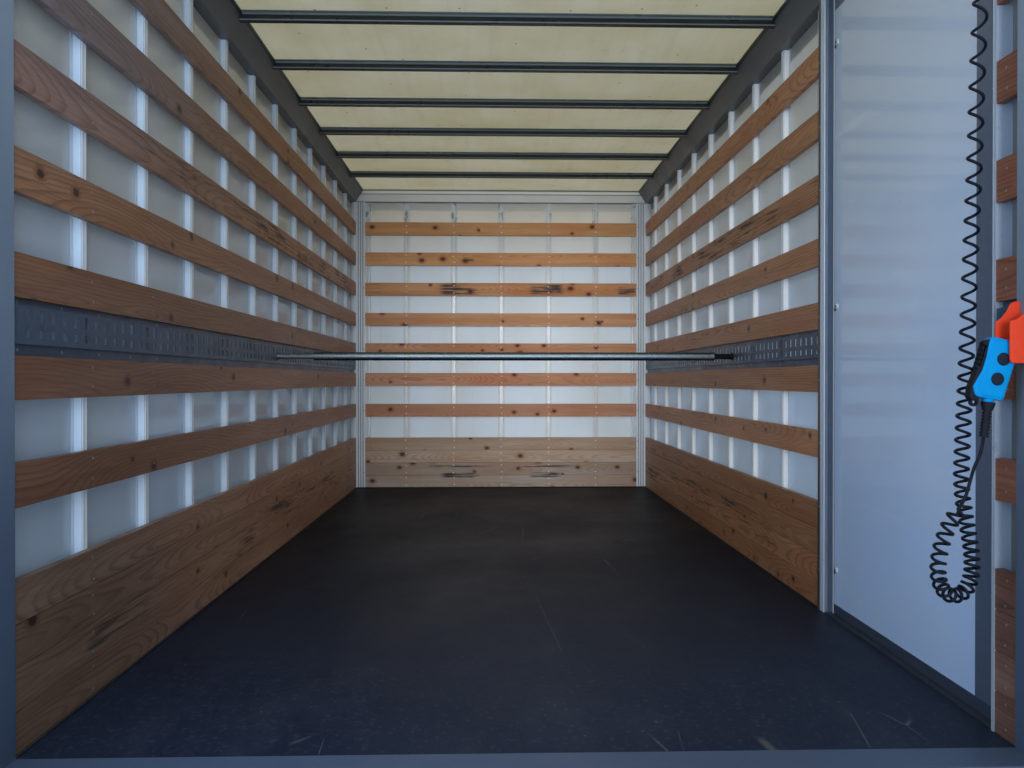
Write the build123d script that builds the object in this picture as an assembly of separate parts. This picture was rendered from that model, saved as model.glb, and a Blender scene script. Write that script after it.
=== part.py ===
from build123d import *
from math import cos, radians, sin, tan
import os

# Box body of a box truck, in millimetres: +X right, +Y towards the cab, +Z up.
# The origin is the middle of the subframe's underside, at half the body's length.

# Body
body_length = 4880
body_width = 2550
wall_height = 2400
cant_height = 109
skin_t = 3
lap_t = 3
lap_height = 60
corner_r = 33
corner_shoulder = 2

# Subframe
subframe_height = 120
subframe_flange = 60
subframe_web = 6
subframe_centre = 437
subframe_end_gap = 90
crosspiece_pitch = 900
crosspiece_count = 5
crosspiece_flange = 60

# Chassis brackets, bolted down through two holes
bracket_rows = (-1650, 0, 1650)
bracket_foot_length = 140
bracket_foot_width = 90
bracket_plate_t = 12
bracket_hole_r = 7.5
bracket_hole_pitch = 80

# Floor
crossmember_height = 60
crossmember_flange = 40
crossmember_web = 5
crossmember_count = 11
deck_t = 24
edge_rail_wall = 4
edge_rail_depth = 33
edge_rail_leg_height = 90

# Wall lining
stud_depth = 27
stud_face = 26
stud_flange = 14
stud_sheet = 2
stud_pitch = 406
left_stud_first = 293
right_stud_first = 242
front_stud_pitch = 400
front_stud_count = 5
front_stud_edge = 13
lath_t = 22
lath_height = 108
lath_lows = (598, 858, 1108, 1362, 1616, 1870, 2124)
kick_height = 422
kick_planks = 4
kick_groove = 4

# Load securing rail: flanges on the studs, and between them a raised face with two rows of slots
load_rail_low = 967
load_rail_height = 140
load_rail_sheet = 3
load_rail_inset = 2
load_rail_low_flange = 28
load_rail_high_flange = 16
slot_pitch = 56
slot_width = 20
# height above the rail's low edge, and the slot's own height
slot_rows = ((54, 22), (99, 32))

# Front corner posts
post_flute_width = 8
post_flute_depth = 3
post_flute_count = 3
post_lap = 64
post_liner_width = 99

# Roof
roof_skin_t = 3
roof_lip = 3
roof_bearing = 78
cant_lip = 9
bow_pitch = 526
bow_first = 534
bow_count = 8
bow_height = 38
bow_width = 34
bow_flange = 18
bow_sheet = 3
bow_round = 8
header_beam_height = 70
header_step = 12

# Rear frame
portal_depth = 95
portal_post_width = 60
portal_wall = 5

# Side door, in the right wall, hinged at its front edge
side_opening_from_rear = 191
side_opening_width = 1033
side_leaf_t = 25
side_leaf_gap = 5
side_leaf_low_gap = 6
side_liner_recess = 2
side_frame_rear = 118
side_frame_front = 10
side_frame_low = 57
jamb_proud = 4
jamb_width = 33
jamb_flange = 23
jamb_nose_r = 5
jamb_lap = 66
jamb_groove_width = 7
jamb_groove_depth = 3
rear_jamb_width = 8
rear_jamb_lap = 43
side_axis_out = 14
side_axis_ahead = 38
side_knuckle_r = 9
side_pin_r = 4
side_hinge_heights = (174, 1191, 2207)
side_hinge_height = 90
side_strap_length = 120
side_strap_t = 9
side_neck_t = 4
side_plate_t = 4
side_plate_gap = 2
side_plate_length = 28
side_handle_height = 1150
side_handle_case = (90, 140, 4)
side_handle_lever = (28, 100, 10)
side_handle_drop = 5

# Rear doors, drawn closed and then opened to point straight back
rear_leaf_t = 28
rear_leaf_gap = 6
rear_leaf_low = 175
rear_leaf_top_gap = 84
rear_leaf_edge = 5
rear_leaf_meet = 3
rear_axis_out = 45
rear_axis_back = 25
rear_barrel_r = 11
rear_pin_r = 6
pin_clearance = 0.3
rear_hinge_count = 4
rear_hinge_height = 110
rear_hinge_end = 260
rear_strap_length = 200
rear_strap_height = 50
rear_strap_t = 6
rear_plate_t = 8
rear_plate_length = 70
rear_arm_t = 15
rear_arm_root = 10
lock_bar_r = 11
lock_bar_stand = 15
lock_bar_offsets = (620, 1150)
lock_bar_end = 30
lock_guide_count = 4
lock_guide_height = 40
lock_guide_wall = 5
lock_lever_length = 330
lock_lever_height = 700
lock_lever_width = 28
lock_lever_t = 10
lock_cam_reach = 16
lock_cam_height = 12
keeper_t = 12
keeper_width = 70
keeper_height = 26
keeper_in = 7

# Load bar, locked between the two load rails
bar_height = 1034
bar_from_front = 2400
bar_r = 22.5
bar_left_end = 192
bar_right_end = 97
bar_end_r = 15
bar_foot_r = 20
bar_foot_t = 6

# Marker lamps
lamp_width = 36
lamp_height = 24
lamp_t = 12
front_lamp_in = 155
front_lamp_drop = 70
rear_lamp_in = 85
rear_lamp_drop = 35
side_lamp_rise = 30
side_lamp_rows = (-500, 700, 1900)

# Hand control of the tail lift: its middle, then outlines across and along its tilted axis
control_from_post = 73
control_from_rear = 64
control_height = 934
control_depth = 32
control_tilt = 17
control_corner_r = 9
handset_outline = ((-41, 74), (34, 74), (34, -77), (-38, -78), (-46, -60), (-45, -42), (-35, -19))
pad_outline = ((-29, 64), (27, 64), (27, -64), (-32, -64), (-32, -40), (-24, -16))
pad_t = 1.5
grip_outline = ((-38, 60), (-48, 64), (-53, 54), (-52, -30), (-58, -58), (-52, -84), (-38, -84), (-30, -76), (-30, 40))
grip_inset = 3
lug_centre = (-38, -90)
lug_r = 12
lug_hole_r = 5
button_r = 14
button_out = 3
button_places = ((4, 25), (4, -25))

# Its holder on the rear post: outlines from the post's inner face inwards, and from the control's middle up
holder_t = 5
holder_clearance = 0.4
holder_plate_outline = ((0, 163), (-14, 163), (-27, 155), (-39, 131), (-61, 111), (-61, 52), (-36, 14), (0, 14))
holder_finger_outline = ((0, 128), (-42, 120), (-55, 108), (-55, 19), (-49, 13), (0, 13))
holder_finger_t = 7
holder_finger_gap = 6
holder_edge_r = 3

# Strain relief and cord
relief_u = 7
relief_drop = 82
relief_neck = 20
relief_length = 85
relief_tilt = 7.4
relief_cap_r = 16
relief_cap_rim = 5
relief_cap_length = 21
relief_rib_r = 11
relief_root_r = 8.5
relief_rib_count = 8
neck_r = 13
cord_wire_r = 3.3
cord_drop = 38
cord_rise = 30
coil_r = 17
gland_r = 16
gland_length = 40
gland_from_post = 97
gland_from_rear = 70

half_width = body_width / 2
y_front = body_length / 2
y_rear = -body_length / 2
skin_out = half_width - lap_t
skin_in = skin_out - skin_t
stud_in = skin_in - stud_depth
lath_in = stud_in - lath_t
front_skin_out = y_front - lap_t
front_skin_in = front_skin_out - skin_t
front_stud_in = front_skin_in - stud_depth
front_lath_in = front_stud_in - lath_t
frame_in = y_rear + portal_depth
cross_top = subframe_height + crossmember_height
floor_z = cross_top + deck_t
cant_z = floor_z + wall_height
roof_z = cant_z + cant_height
top_z = roof_z + roof_skin_t + roof_lip
post_in = half_width - portal_post_width
liner_in = stud_in - post_liner_width
rail_face = lath_in + load_rail_inset
edge_rail_in = half_width - edge_rail_depth
corner_in = half_width - corner_r - lap_t
shoulder_x = half_width - corner_r - corner_shoulder
bearing_in = shoulder_x - roof_bearing
side_opening_rear = y_rear + side_opening_from_rear
side_opening_front = side_opening_rear + side_opening_width
front_jamb_end = side_opening_front + jamb_width
front_jamb_lap_end = side_opening_front + jamb_lap
rear_jamb_end = side_opening_rear - rear_jamb_width
rear_jamb_lap_end = rear_jamb_end - rear_jamb_lap
control_x = post_in - control_from_post
control_y = y_rear + control_from_rear
control_z = floor_z + control_height
gland_x = post_in - gland_from_post
gland_y = y_rear + gland_from_rear
parts = {}


def block(x, y, z):
    spans = (x, y, z)
    return Pos(*[(low + high) / 2 for low, high in spans]) * Box(*[high - low for low, high in spans])


def along_x(points, low, high):
    plane = Plane(origin=(low, 0, 0), x_dir=(0, 1, 0), z_dir=(1, 0, 0))
    return extrude(plane * make_face(Polyline(*points, close=True)), high - low)


def along_y(points, low, high):
    plane = Plane(origin=(0, high, 0), x_dir=(1, 0, 0), z_dir=(0, -1, 0))
    return extrude(plane * make_face(Polyline(*points, close=True)), high - low)


def along_z(points, low, high):
    plane = Plane(origin=(0, 0, low))
    return extrude(plane * make_face(Polyline(*points, close=True)), high - low)


def upright(x, y, r, low, high):
    return Pos(x, y, (low + high) / 2) * Cylinder(r, high - low)


def lying_x(y, z, r, low, high):
    return Pos((low + high) / 2, y, z) * Rot(0, 90, 0) * Cylinder(r, high - low)


def mirrored(shape):
    return mirror(shape, about=Plane.YZ)


def add(node, *shapes):
    solids = [solid for shape in shapes for solid in shape.solids()]
    parts.setdefault(node, []).extend(solids)


def hat(face, depth, flange, sheet):
    c = face / 2
    f = c + flange
    right = [(f, sheet), (f, 0), (c - sheet, 0), (c - sheet, depth - sheet)]
    left = [(-x, d) for x, d in reversed(right)]
    return [(-c, sheet), (-c, depth), (c, depth), (c, sheet)] + right + left


def subframe():
    for side in (-1, 1):
        web = subframe_centre + subframe_web / 2
        inner = web - subframe_flange
        points = [(web, 0), (web, subframe_height), (inner, subframe_height)]
        points += [(inner, subframe_height - subframe_web), (web - subframe_web, subframe_height - subframe_web)]
        points += [(web - subframe_web, subframe_web), (inner, subframe_web), (inner, 0)]
        rail = along_y(points, y_rear + subframe_end_gap, y_front - subframe_end_gap)
        add("subframe_rails", rail if side > 0 else mirrored(rail))
    reach = subframe_centre - subframe_web / 2
    first = -crosspiece_pitch * (crosspiece_count - 1) / 2
    for n in range(crosspiece_count):
        y = first + n * crosspiece_pitch
        half = crosspiece_flange / 2
        outer = block((-reach, reach), (y - half, y + half), (0, subframe_height))
        pocket = block((-reach, reach), (y - half, y + half - subframe_web),
                       (subframe_web, subframe_height - subframe_web))
        rails = [block((s * reach - subframe_flange, s * reach + subframe_flange), (y - half, y + half), span)
                 for s in (-1, 1) for span in ((0, subframe_web), (subframe_height - subframe_web, subframe_height))]
        add("subframe_crosspieces", outer - pocket - rails)
    web = subframe_centre + subframe_web / 2
    for side in (-1, 1):
        for y in bracket_rows:
            half = bracket_foot_length / 2
            foot = block((web, web + bracket_foot_width), (y - half, y + half), (0, bracket_plate_t))
            gusset = along_y([(web, bracket_plate_t), (web + bracket_foot_width, bracket_plate_t),
                              (web + bracket_plate_t, subframe_height), (web, subframe_height)],
                             y - bracket_plate_t / 2, y + bracket_plate_t / 2)
            holes = [upright(web + bracket_foot_width / 2, y + s * bracket_hole_pitch / 2,
                             bracket_hole_r, 0, bracket_plate_t) for s in (-1, 1)]
            bracket = foot + gusset - holes
            add("chassis_brackets", bracket if side > 0 else mirrored(bracket))


def floor():
    first = frame_in + crossmember_flange / 2
    last = front_stud_in - crossmember_flange / 2
    for n in range(crossmember_count):
        y = first + (last - first) * n / (crossmember_count - 1)
        half = crossmember_flange / 2
        web = crossmember_web / 2
        low, high = subframe_height, cross_top
        points = [(y - half, low), (y + half, low), (y + half, low + crossmember_web), (y + web, low + crossmember_web)]
        points += [(y + web, high - crossmember_web), (y + half, high - crossmember_web), (y + half, high)]
        points += [(y - half, high), (y - half, high - crossmember_web), (y - web, high - crossmember_web)]
        points += [(y - web, low + crossmember_web), (y - half, low + crossmember_web)]
        add("floor_crossmembers", along_x(points, -edge_rail_in, edge_rail_in))
    add("floor_deck", block((-edge_rail_in, edge_rail_in), (frame_in, front_stud_in), (cross_top, floor_z)))


def edge_rail(leg_spans):
    low, high = subframe_height, cross_top
    rail = block((edge_rail_in, half_width), (frame_in, front_stud_in), (low, high))
    wall = edge_rail_wall
    rail -= block((edge_rail_in + wall, half_width - wall), (frame_in, front_stud_in), (low + wall, high - wall))
    for span in leg_spans:
        rail += block((skin_out, half_width), span, (high, high + edge_rail_leg_height))
    return rail


def edge_rails():
    end = y_front - post_lap
    add("edge_rails", mirrored(edge_rail([(frame_in, end)])))
    add("edge_rails", edge_rail([(frame_in, rear_jamb_lap_end), (front_jamb_lap_end, end)]))
    low, high = subframe_height, cross_top
    wall = edge_rail_wall
    sill = block((-corner_in, corner_in), (front_stud_in, y_front), (low, high))
    sill -= block((-corner_in, corner_in), (front_stud_in + wall, y_front - wall), (low + wall, high - wall))
    leg = half_width - post_lap
    sill += block((-leg, leg), (front_skin_out, y_front), (high, high + edge_rail_leg_height))
    add("front_sill", sill)


def cant_outline():
    return [(lath_in, cant_z), (skin_out, cant_z), (skin_out, cant_z - lap_height), (half_width, cant_z - lap_height),
            (half_width, top_z), (shoulder_x, top_z), (shoulder_x, roof_z), (bearing_in, roof_z),
            (bearing_in, roof_z - cant_lip)]


def cant_rail(leg_cuts):
    envelope = along_y(cant_outline(), frame_in, front_stud_in)
    corner = envelope.edges().filter_by(Axis.Y).sort_by_distance((half_width, 0, top_z))[0]
    envelope = fillet(corner, corner_r)
    wall = edge_rail_wall
    hollow = [(lath_in + 3 * wall, cant_z + wall), (skin_in, cant_z + wall), (skin_in, roof_z - corner_r),
              (shoulder_x - wall, roof_z - wall), (bearing_in + 3 * wall, roof_z - wall)]
    rail = envelope - along_y(hollow, frame_in, front_stud_in)
    for low, high in leg_cuts:
        rail -= block((skin_out, half_width), (low, high), (cant_z - lap_height, cant_z))
    return envelope, rail


def roof():
    corner_cut = (y_front - post_lap, front_stud_in)
    envelope, left = cant_rail([corner_cut])
    _, right = cant_rail([corner_cut, (rear_jamb_lap_end, front_jamb_lap_end)])
    add("cant_rails", mirrored(left), right)
    beam = [(front_lath_in, cant_z), (front_lath_in, cant_z + header_beam_height)]
    beam += [(front_lath_in + header_step, cant_z + header_beam_height), (front_lath_in + header_step, roof_z)]
    beam += [(front_stud_in - lap_t, roof_z), (front_stud_in - lap_t, top_z), (y_front, top_z)]
    beam += [(y_front, cant_z - lap_height), (front_skin_out, cant_z - lap_height), (front_skin_out, cant_z)]
    header = along_x(beam, -corner_in, corner_in)
    corner = header.edges().filter_by(Axis.X).sort_by_distance((0, y_front, top_z))[0]
    header = fillet(corner, corner_r) - envelope - mirrored(envelope)
    leg = half_width - post_lap
    for side in (-1, 1):
        span = sorted((side * leg, side * corner_in))
        header -= block(span, (front_skin_out, y_front), (cant_z - lap_height, cant_z))
    add("front_header", header)
    add("roof_skin", block((-shoulder_x, shoulder_x), (frame_in, front_stud_in - lap_t),
                           (roof_z, roof_z + roof_skin_t)))
    slope = (lath_in - bearing_in) / (cant_height - cant_lip)
    low = bearing_in + slope * (bow_height - cant_lip)
    end = [(low, roof_z - bow_height), (bearing_in, roof_z - cant_lip), (bearing_in, roof_z)]
    outline = end + [(-x, z) for x, z in reversed(end)]
    for n in range(bow_count):
        y = front_lath_in - bow_first - n * bow_pitch
        half = bow_width / 2
        bow = along_y(outline, y - half, y + half)
        bow = fillet(bow.edges().filter_by(Axis.X).group_by(Axis.Z)[0], bow_round)
        bow -= block((-bearing_in, bearing_in), (y - half + bow_sheet, y + half - bow_sheet),
                     (roof_z - bow_height + bow_round, roof_z))
        for side in (-1, 1):
            span = sorted((y + side * half, y + side * (half + bow_flange)))
            bow += block((-bearing_in, bearing_in), span, (roof_z - bow_sheet, roof_z))
        add("roof_bows", bow)


def skins():
    end = front_stud_in
    add("left_wall_skin", block((-skin_out, -skin_in), (frame_in, end), (cross_top, cant_z)))
    for span in ((front_jamb_end, end), (frame_in, rear_jamb_end)):
        add("right_wall_skins", block((skin_in, skin_out), span, (cross_top, cant_z)))
    add("front_wall_skin", block((-corner_in, corner_in), (front_skin_in, front_skin_out), (cross_top, cant_z)))


def studs():
    outline = hat(stud_face, stud_depth, stud_flange, stud_sheet)
    half = stud_face / 2 + stud_flange
    left_rows = stud_rows(left_stud_first, frame_in + half)
    right_rows = stud_rows(right_stud_first, front_jamb_end + half) + [(frame_in + rear_jamb_end) / 2]
    for y in left_rows:
        add("left_studs", mirrored(along_z([(skin_in - d, y + u) for u, d in outline], cross_top, cant_z)))
    for y in right_rows:
        add("right_studs", along_z([(skin_in - d, y + u) for u, d in outline], cross_top, cant_z))
    front_rows = [(n - (front_stud_count - 1) / 2) * front_stud_pitch for n in range(front_stud_count)]
    for x in front_rows + [front_stud_edge - liner_in, liner_in - front_stud_edge]:
        add("front_studs", along_z([(x + u, front_skin_in - d) for u, d in outline], cross_top, cant_z))


def stud_rows(first, end):
    rows = []
    y = front_lath_in - first
    while y > end:
        rows.append(y)
        y -= stud_pitch
    return rows


def kick_outline(face, back):
    step = kick_height / kick_planks
    points = [(back, floor_z), (back, floor_z + kick_height), (face, floor_z + kick_height)]
    sign = 1 if back > face else -1
    for n in range(kick_planks - 1, 0, -1):
        z = floor_z + n * step
        points += [(face, z + kick_groove / 2), (face + sign * kick_groove, z), (face, z - kick_groove / 2)]
    return points + [(face, floor_z)]


def lining():
    left_span = (frame_in, front_lath_in)
    right_spans = ((front_jamb_end, front_lath_in), (frame_in, rear_jamb_end))
    for low in lath_lows:
        z = (floor_z + low, floor_z + low + lath_height)
        add("left_laths", block((-stud_in, -lath_in), left_span, z))
        for span in right_spans:
            add("right_laths", block((lath_in, stud_in), span, z))
        add("front_laths", block((-liner_in, liner_in), (front_lath_in, front_stud_in), z))
    add("left_kickboard", mirrored(along_y(kick_outline(lath_in, stud_in), *left_span)))
    for span in right_spans:
        add("right_kickboards", along_y(kick_outline(lath_in, stud_in), *span))
    add("front_kickboard", along_x(kick_outline(front_lath_in, front_stud_in), -liner_in, liner_in))
    add("load_rails", mirrored(load_rail(*left_span)))
    for span in right_spans:
        add("load_rails", load_rail(*span))


def load_rail(low, high):
    flat = stud_in - load_rail_sheet
    back = rail_face + load_rail_sheet
    z0 = floor_z + load_rail_low
    z1 = z0 + load_rail_height
    a = z0 + load_rail_low_flange
    b = z1 - load_rail_high_flange
    rail = along_y([(flat, z0), (flat, a), (rail_face, a), (rail_face, b), (flat, b), (flat, z1), (stud_in, z1),
                    (stud_in, b - load_rail_sheet), (back, b - load_rail_sheet), (back, a + load_rail_sheet),
                    (stud_in, a + load_rail_sheet), (stud_in, z0)], low, high)
    count = int((high - low - slot_pitch / 2) // slot_pitch)
    middle = (low + high) / 2
    slots = []
    for n in range(count):
        y = middle + (n - (count - 1) / 2) * slot_pitch
        for rise, height in slot_rows:
            slots.append(block((rail_face, back), (y - slot_width / 2, y + slot_width / 2),
                               (z0 + rise - height / 2, z0 + rise + height / 2)))
    return rail - slots


def corner_posts():
    liner = block((liner_in, stud_in), (front_lath_in, front_stud_in), (floor_z, cant_z))
    step = (lath_in - liner_in) / (post_flute_count + 1)
    for n in range(post_flute_count):
        x = liner_in + (n + 1) * step
        half = post_flute_width / 2
        liner -= block((x - half, x + half), (front_lath_in, front_lath_in + post_flute_depth), (floor_z, cant_z))
    side_leg = block((skin_out, half_width), (y_front - post_lap, front_stud_in), (cross_top, cant_z))
    front_leg = block((half_width - post_lap, corner_in), (front_skin_out, y_front), (cross_top, cant_z))
    corner = block((0, half_width), (0, y_front), (subframe_height, top_z))
    upright_edge = corner.edges().filter_by(Axis.Z).sort_by_distance((half_width, y_front, 0))[0]
    corner = fillet(upright_edge, corner_r) & block((corner_in, half_width), (front_stud_in, y_front), (0, top_z))
    post = liner + corner + side_leg + front_leg
    add("corner_posts", post, mirrored(post))


def rear_frame():
    post = block((post_in, half_width), (y_rear, frame_in), (subframe_height, top_z))
    wall = portal_wall
    post -= block((post_in + wall, half_width - wall), (y_rear + wall, frame_in - wall),
                  (subframe_height, top_z - wall))
    add("rear_posts", post, mirrored(post))
    header = block((-post_in, post_in), (y_rear, frame_in), (cant_z, top_z))
    header -= block((-post_in, post_in), (y_rear + wall, frame_in - wall), (cant_z + wall, top_z - wall))
    add("rear_header", header)
    sill = block((-post_in, post_in), (y_rear, frame_in), (subframe_height, floor_z))
    sill -= block((-post_in, post_in), (y_rear + wall, frame_in - wall), (subframe_height + wall, floor_z - wall))
    add("rear_sill", sill)


def side_door_frame():
    inner = lath_in - jamb_proud
    y = side_opening_front
    jamb = block((inner, half_width), (y, front_jamb_end), (cross_top, cant_z))
    nose = jamb.edges().filter_by(Axis.Z).sort_by_distance((inner, y, cross_top))[0]
    jamb = fillet(nose, jamb_nose_r)
    middle = (y + front_jamb_end) / 2
    jamb -= block((inner, inner + jamb_groove_depth), (middle - jamb_groove_width / 2, middle + jamb_groove_width / 2),
                  (cross_top, cant_z))
    jamb += block((inner, lath_in), (front_jamb_end, front_jamb_end + jamb_flange), (floor_z, cant_z))
    jamb += block((skin_out, half_width), (front_jamb_end, front_jamb_lap_end), (cross_top, cant_z))
    cut = block((inner, edge_rail_in), (y, front_jamb_end), (cross_top, floor_z))
    add("side_door_jambs", jamb - cut)
    y = side_opening_rear
    jamb = block((inner, half_width), (rear_jamb_end, y), (cross_top, cant_z))
    jamb += block((skin_out, half_width), (rear_jamb_lap_end, rear_jamb_end), (cross_top, cant_z))
    cut = block((inner, edge_rail_in), (rear_jamb_end, y), (cross_top, floor_z))
    add("side_door_jambs", jamb - cut)
    top = block((lath_in, edge_rail_in + lap_t), (side_opening_rear, side_opening_front), (floor_z, floor_z + lap_t))
    lip = block((edge_rail_in, edge_rail_in + lap_t), (side_opening_rear, side_opening_front), (cross_top, floor_z))
    add("side_door_sill", top + lip)


def side_door():
    front = side_opening_front - side_leaf_gap
    rear = side_opening_rear + side_leaf_gap
    low = cross_top + side_leaf_low_gap
    high = cant_z - side_leaf_low_gap
    inner = half_width - side_leaf_t
    leaf = block((inner, half_width), (rear, front), (low, high))
    liner_y = (rear + side_frame_rear, front - side_frame_front)
    liner_z = (low + side_frame_low, high - side_frame_low)
    recess = block((inner, inner + side_liner_recess), liner_y, liner_z)
    add("side_door_leaf", leaf - recess)
    axis_x = half_width + side_axis_out
    axis_y = front + side_axis_ahead
    third = side_hinge_height / 3
    for height in side_hinge_heights:
        z = floor_z + height
        bottom = z - side_hinge_height / 2
        low_arm = (bottom, bottom + third)
        mid_arm = (bottom + third + pin_clearance, bottom + 2 * third - pin_clearance)
        high_arm = (bottom + 2 * third, bottom + 3 * third)
        plate_low = axis_y + side_knuckle_r + side_plate_gap
        plate_y = (plate_low, plate_low + side_plate_length)
        plate = block((half_width, half_width + side_plate_t), plate_y, (bottom, bottom + side_hinge_height))
        for span in (low_arm, high_arm):
            plate += block((half_width, axis_x), (axis_y, plate_y[0]), span)
            plate += upright(axis_x, axis_y, side_knuckle_r, *span)
        plate += upright(axis_x, axis_y, side_pin_r, bottom, bottom + side_hinge_height)
        add("side_hinge_plates", plate)
        strap = block((half_width, half_width + side_strap_t), (front - side_strap_length, front),
                      (bottom, bottom + side_hinge_height))
        reach = half_width + side_strap_t - side_neck_t
        strap += block((reach, half_width + side_strap_t), (front, axis_y), mid_arm)
        strap += upright(axis_x, axis_y, side_knuckle_r, *mid_arm)
        strap -= upright(axis_x, axis_y, side_pin_r + pin_clearance, *mid_arm)
        add("side_door_hinges", strap)
    y = rear + side_frame_rear / 2
    z = floor_z + side_handle_height
    width, height, case_t = side_handle_case
    case = block((half_width, half_width + case_t), (y - width / 2, y + width / 2), (z - height / 2, z + height / 2))
    width, height, lever_t = side_handle_lever
    z -= side_handle_drop
    lever = block((half_width + case_t, half_width + case_t + lever_t), (y - width / 2, y + width / 2),
                  (z - height / 2, z + height / 2))
    add("side_door_handle", case + lever)


def rear_door():
    outer = y_rear - rear_leaf_gap - rear_leaf_t
    inner = y_rear - rear_leaf_gap
    edge = half_width - rear_leaf_edge
    high = top_z - rear_leaf_top_gap
    leaf = block((rear_leaf_meet, edge), (outer, inner), (rear_leaf_low, high))
    axis_x = half_width + rear_axis_out
    axis_y = inner - rear_axis_back
    straps = []
    brackets = []
    rise = (high - rear_leaf_low - 2 * rear_hinge_end) / (rear_hinge_count - 1)
    for n in range(rear_hinge_count):
        z = rear_leaf_low + rear_hinge_end + n * rise
        bottom = z - rear_hinge_height / 2
        top = z + rear_hinge_height / 2
        strap_z = (z - rear_strap_height / 2, z + rear_strap_height / 2)
        strap = block((axis_x - rear_strap_length, axis_x), (outer - rear_strap_t, outer), strap_z)
        strap += upright(axis_x, axis_y, rear_barrel_r, *strap_z)
        strap -= upright(axis_x, axis_y, rear_pin_r + pin_clearance, *strap_z)
        straps.append(strap)
        bracket = block((half_width, half_width + rear_plate_t), (y_rear, y_rear + rear_plate_length), (bottom, top))
        near = 0.7 * rear_barrel_r
        arm = [(half_width, y_rear + rear_arm_root), (half_width, y_rear - rear_arm_root), (axis_x - near, axis_y - near),
               (axis_x + near, axis_y + near), (half_width + rear_arm_t, y_rear + rear_arm_root)]
        for span in ((bottom, strap_z[0] - pin_clearance), (strap_z[1] + pin_clearance, top)):
            bracket += along_z(arm, *span)
            bracket += upright(axis_x, axis_y, rear_barrel_r, *span)
        bracket += upright(axis_x, axis_y, rear_pin_r, bottom, top)
        brackets.append(bracket)
    bars = []
    guides = []
    keepers = []
    for offset in lock_bar_offsets:
        x = axis_x - offset
        y = outer - lock_bar_stand
        bar_low = rear_leaf_low - lock_bar_end
        bar_high = high + lock_bar_end
        bar = upright(x, y, lock_bar_r, bar_low, bar_high)
        for span in ((bar_low, bar_low + lock_cam_height), (bar_high - lock_cam_height, bar_high)):
            bar += block((x - lock_bar_r, x + lock_bar_r), (y, outer + lock_cam_reach), span)
        z = rear_leaf_low + lock_lever_height
        bar += block((x, x + lock_lever_length), (y - lock_lever_t / 2, y + lock_lever_t / 2),
                     (z - lock_lever_width / 2, z + lock_lever_width / 2))
        bars.append(bar)
        gap = (high - rear_leaf_low - 2 * lock_guide_height) / (lock_guide_count - 1)
        for n in range(lock_guide_count):
            z0 = rear_leaf_low + lock_guide_height / 2 + n * gap
            wide = lock_bar_r + lock_guide_wall
            guide = block((x - wide, x + wide), (y - lock_bar_r - lock_guide_wall, outer), (z0, z0 + lock_guide_height))
            guide -= upright(x, y, lock_bar_r + pin_clearance, z0, z0 + lock_guide_height)
            guides.append(guide)
        for end in (bar_low + keeper_in, bar_high - keeper_in):
            keepers.append(block((x - keeper_width / 2, x + keeper_width / 2), (y_rear - keeper_t, y_rear),
                                 (end - keeper_height / 2, end + keeper_height / 2)))
    hinge = Axis((axis_x, axis_y, 0), (0, 0, 1))
    opened = [[shape.rotate(hinge, 90) for shape in group] for group in ([leaf], straps, bars, guides)]
    for side, turn in (("right", lambda shape: shape), ("left", mirrored)):
        for node, group in zip(("leaf", "hinges", "lock_bars", "lock_guides"), opened):
            add(f"rear_door_{side}_{node}", *[turn(shape) for shape in group])
        add("rear_hinge_brackets", *[turn(shape) for shape in brackets])
        add("door_keepers", *[turn(shape) for shape in keepers])


def lamps():
    # place: x, y, z of the lamp's back face, and the way it faces
    front_x = half_width - front_lamp_in
    rear_x = half_width - rear_lamp_in
    places = [(s * front_x, y_front, top_z - front_lamp_drop, (0, 1, 0)) for s in (-1, 1)]
    places += [(s * rear_x, y_rear, top_z - rear_lamp_drop, (0, -1, 0)) for s in (-1, 1)]
    places += [(s * half_width, y, subframe_height + side_lamp_rise, (s, 0, 0)) for s in (-1, 1) for y in side_lamp_rows]
    for x, y, z, facing in places:
        plane = Plane(origin=(x, y, z), x_dir=(0, 0, 1), z_dir=facing)
        outline = SlotOverall(lamp_width, lamp_height) if facing[0] == 0 else Circle(lamp_height / 2)
        add("marker_lamps", extrude(plane * outline, lamp_t))


def load_bar():
    y = front_lath_in - bar_from_front
    z = floor_z + bar_height
    left = bar_left_end - rail_face
    right = rail_face - bar_right_end
    add("load_bar_tube", lying_x(y, z, bar_r, left, right))
    for low, high in ((-rail_face, left), (right, rail_face)):
        end = lying_x(y, z, bar_end_r, low, high)
        foot = (low, low + bar_foot_t) if low < 0 else (high - bar_foot_t, high)
        add("load_bar_ends", end + lying_x(y, z, bar_foot_r, *foot))


def control_place():
    return Pos(control_x, control_y, control_z) * Rot(0, control_tilt, 0)


def relief_place(along):
    exit_point = (control_place() * Pos(relief_u, 0, -relief_drop)).position
    return Pos(*exit_point) * Rot(0, relief_tilt, 0) * Pos(0, 0, along)


def plate(outline, low, high, corner_r):
    face = make_face(Polyline(*outline, close=True))
    face = fillet(face.vertices(), corner_r) if corner_r else face
    return extrude(Plane(origin=(0, high, 0), x_dir=(1, 0, 0), z_dir=(0, -1, 0)) * face, high - low)


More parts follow.
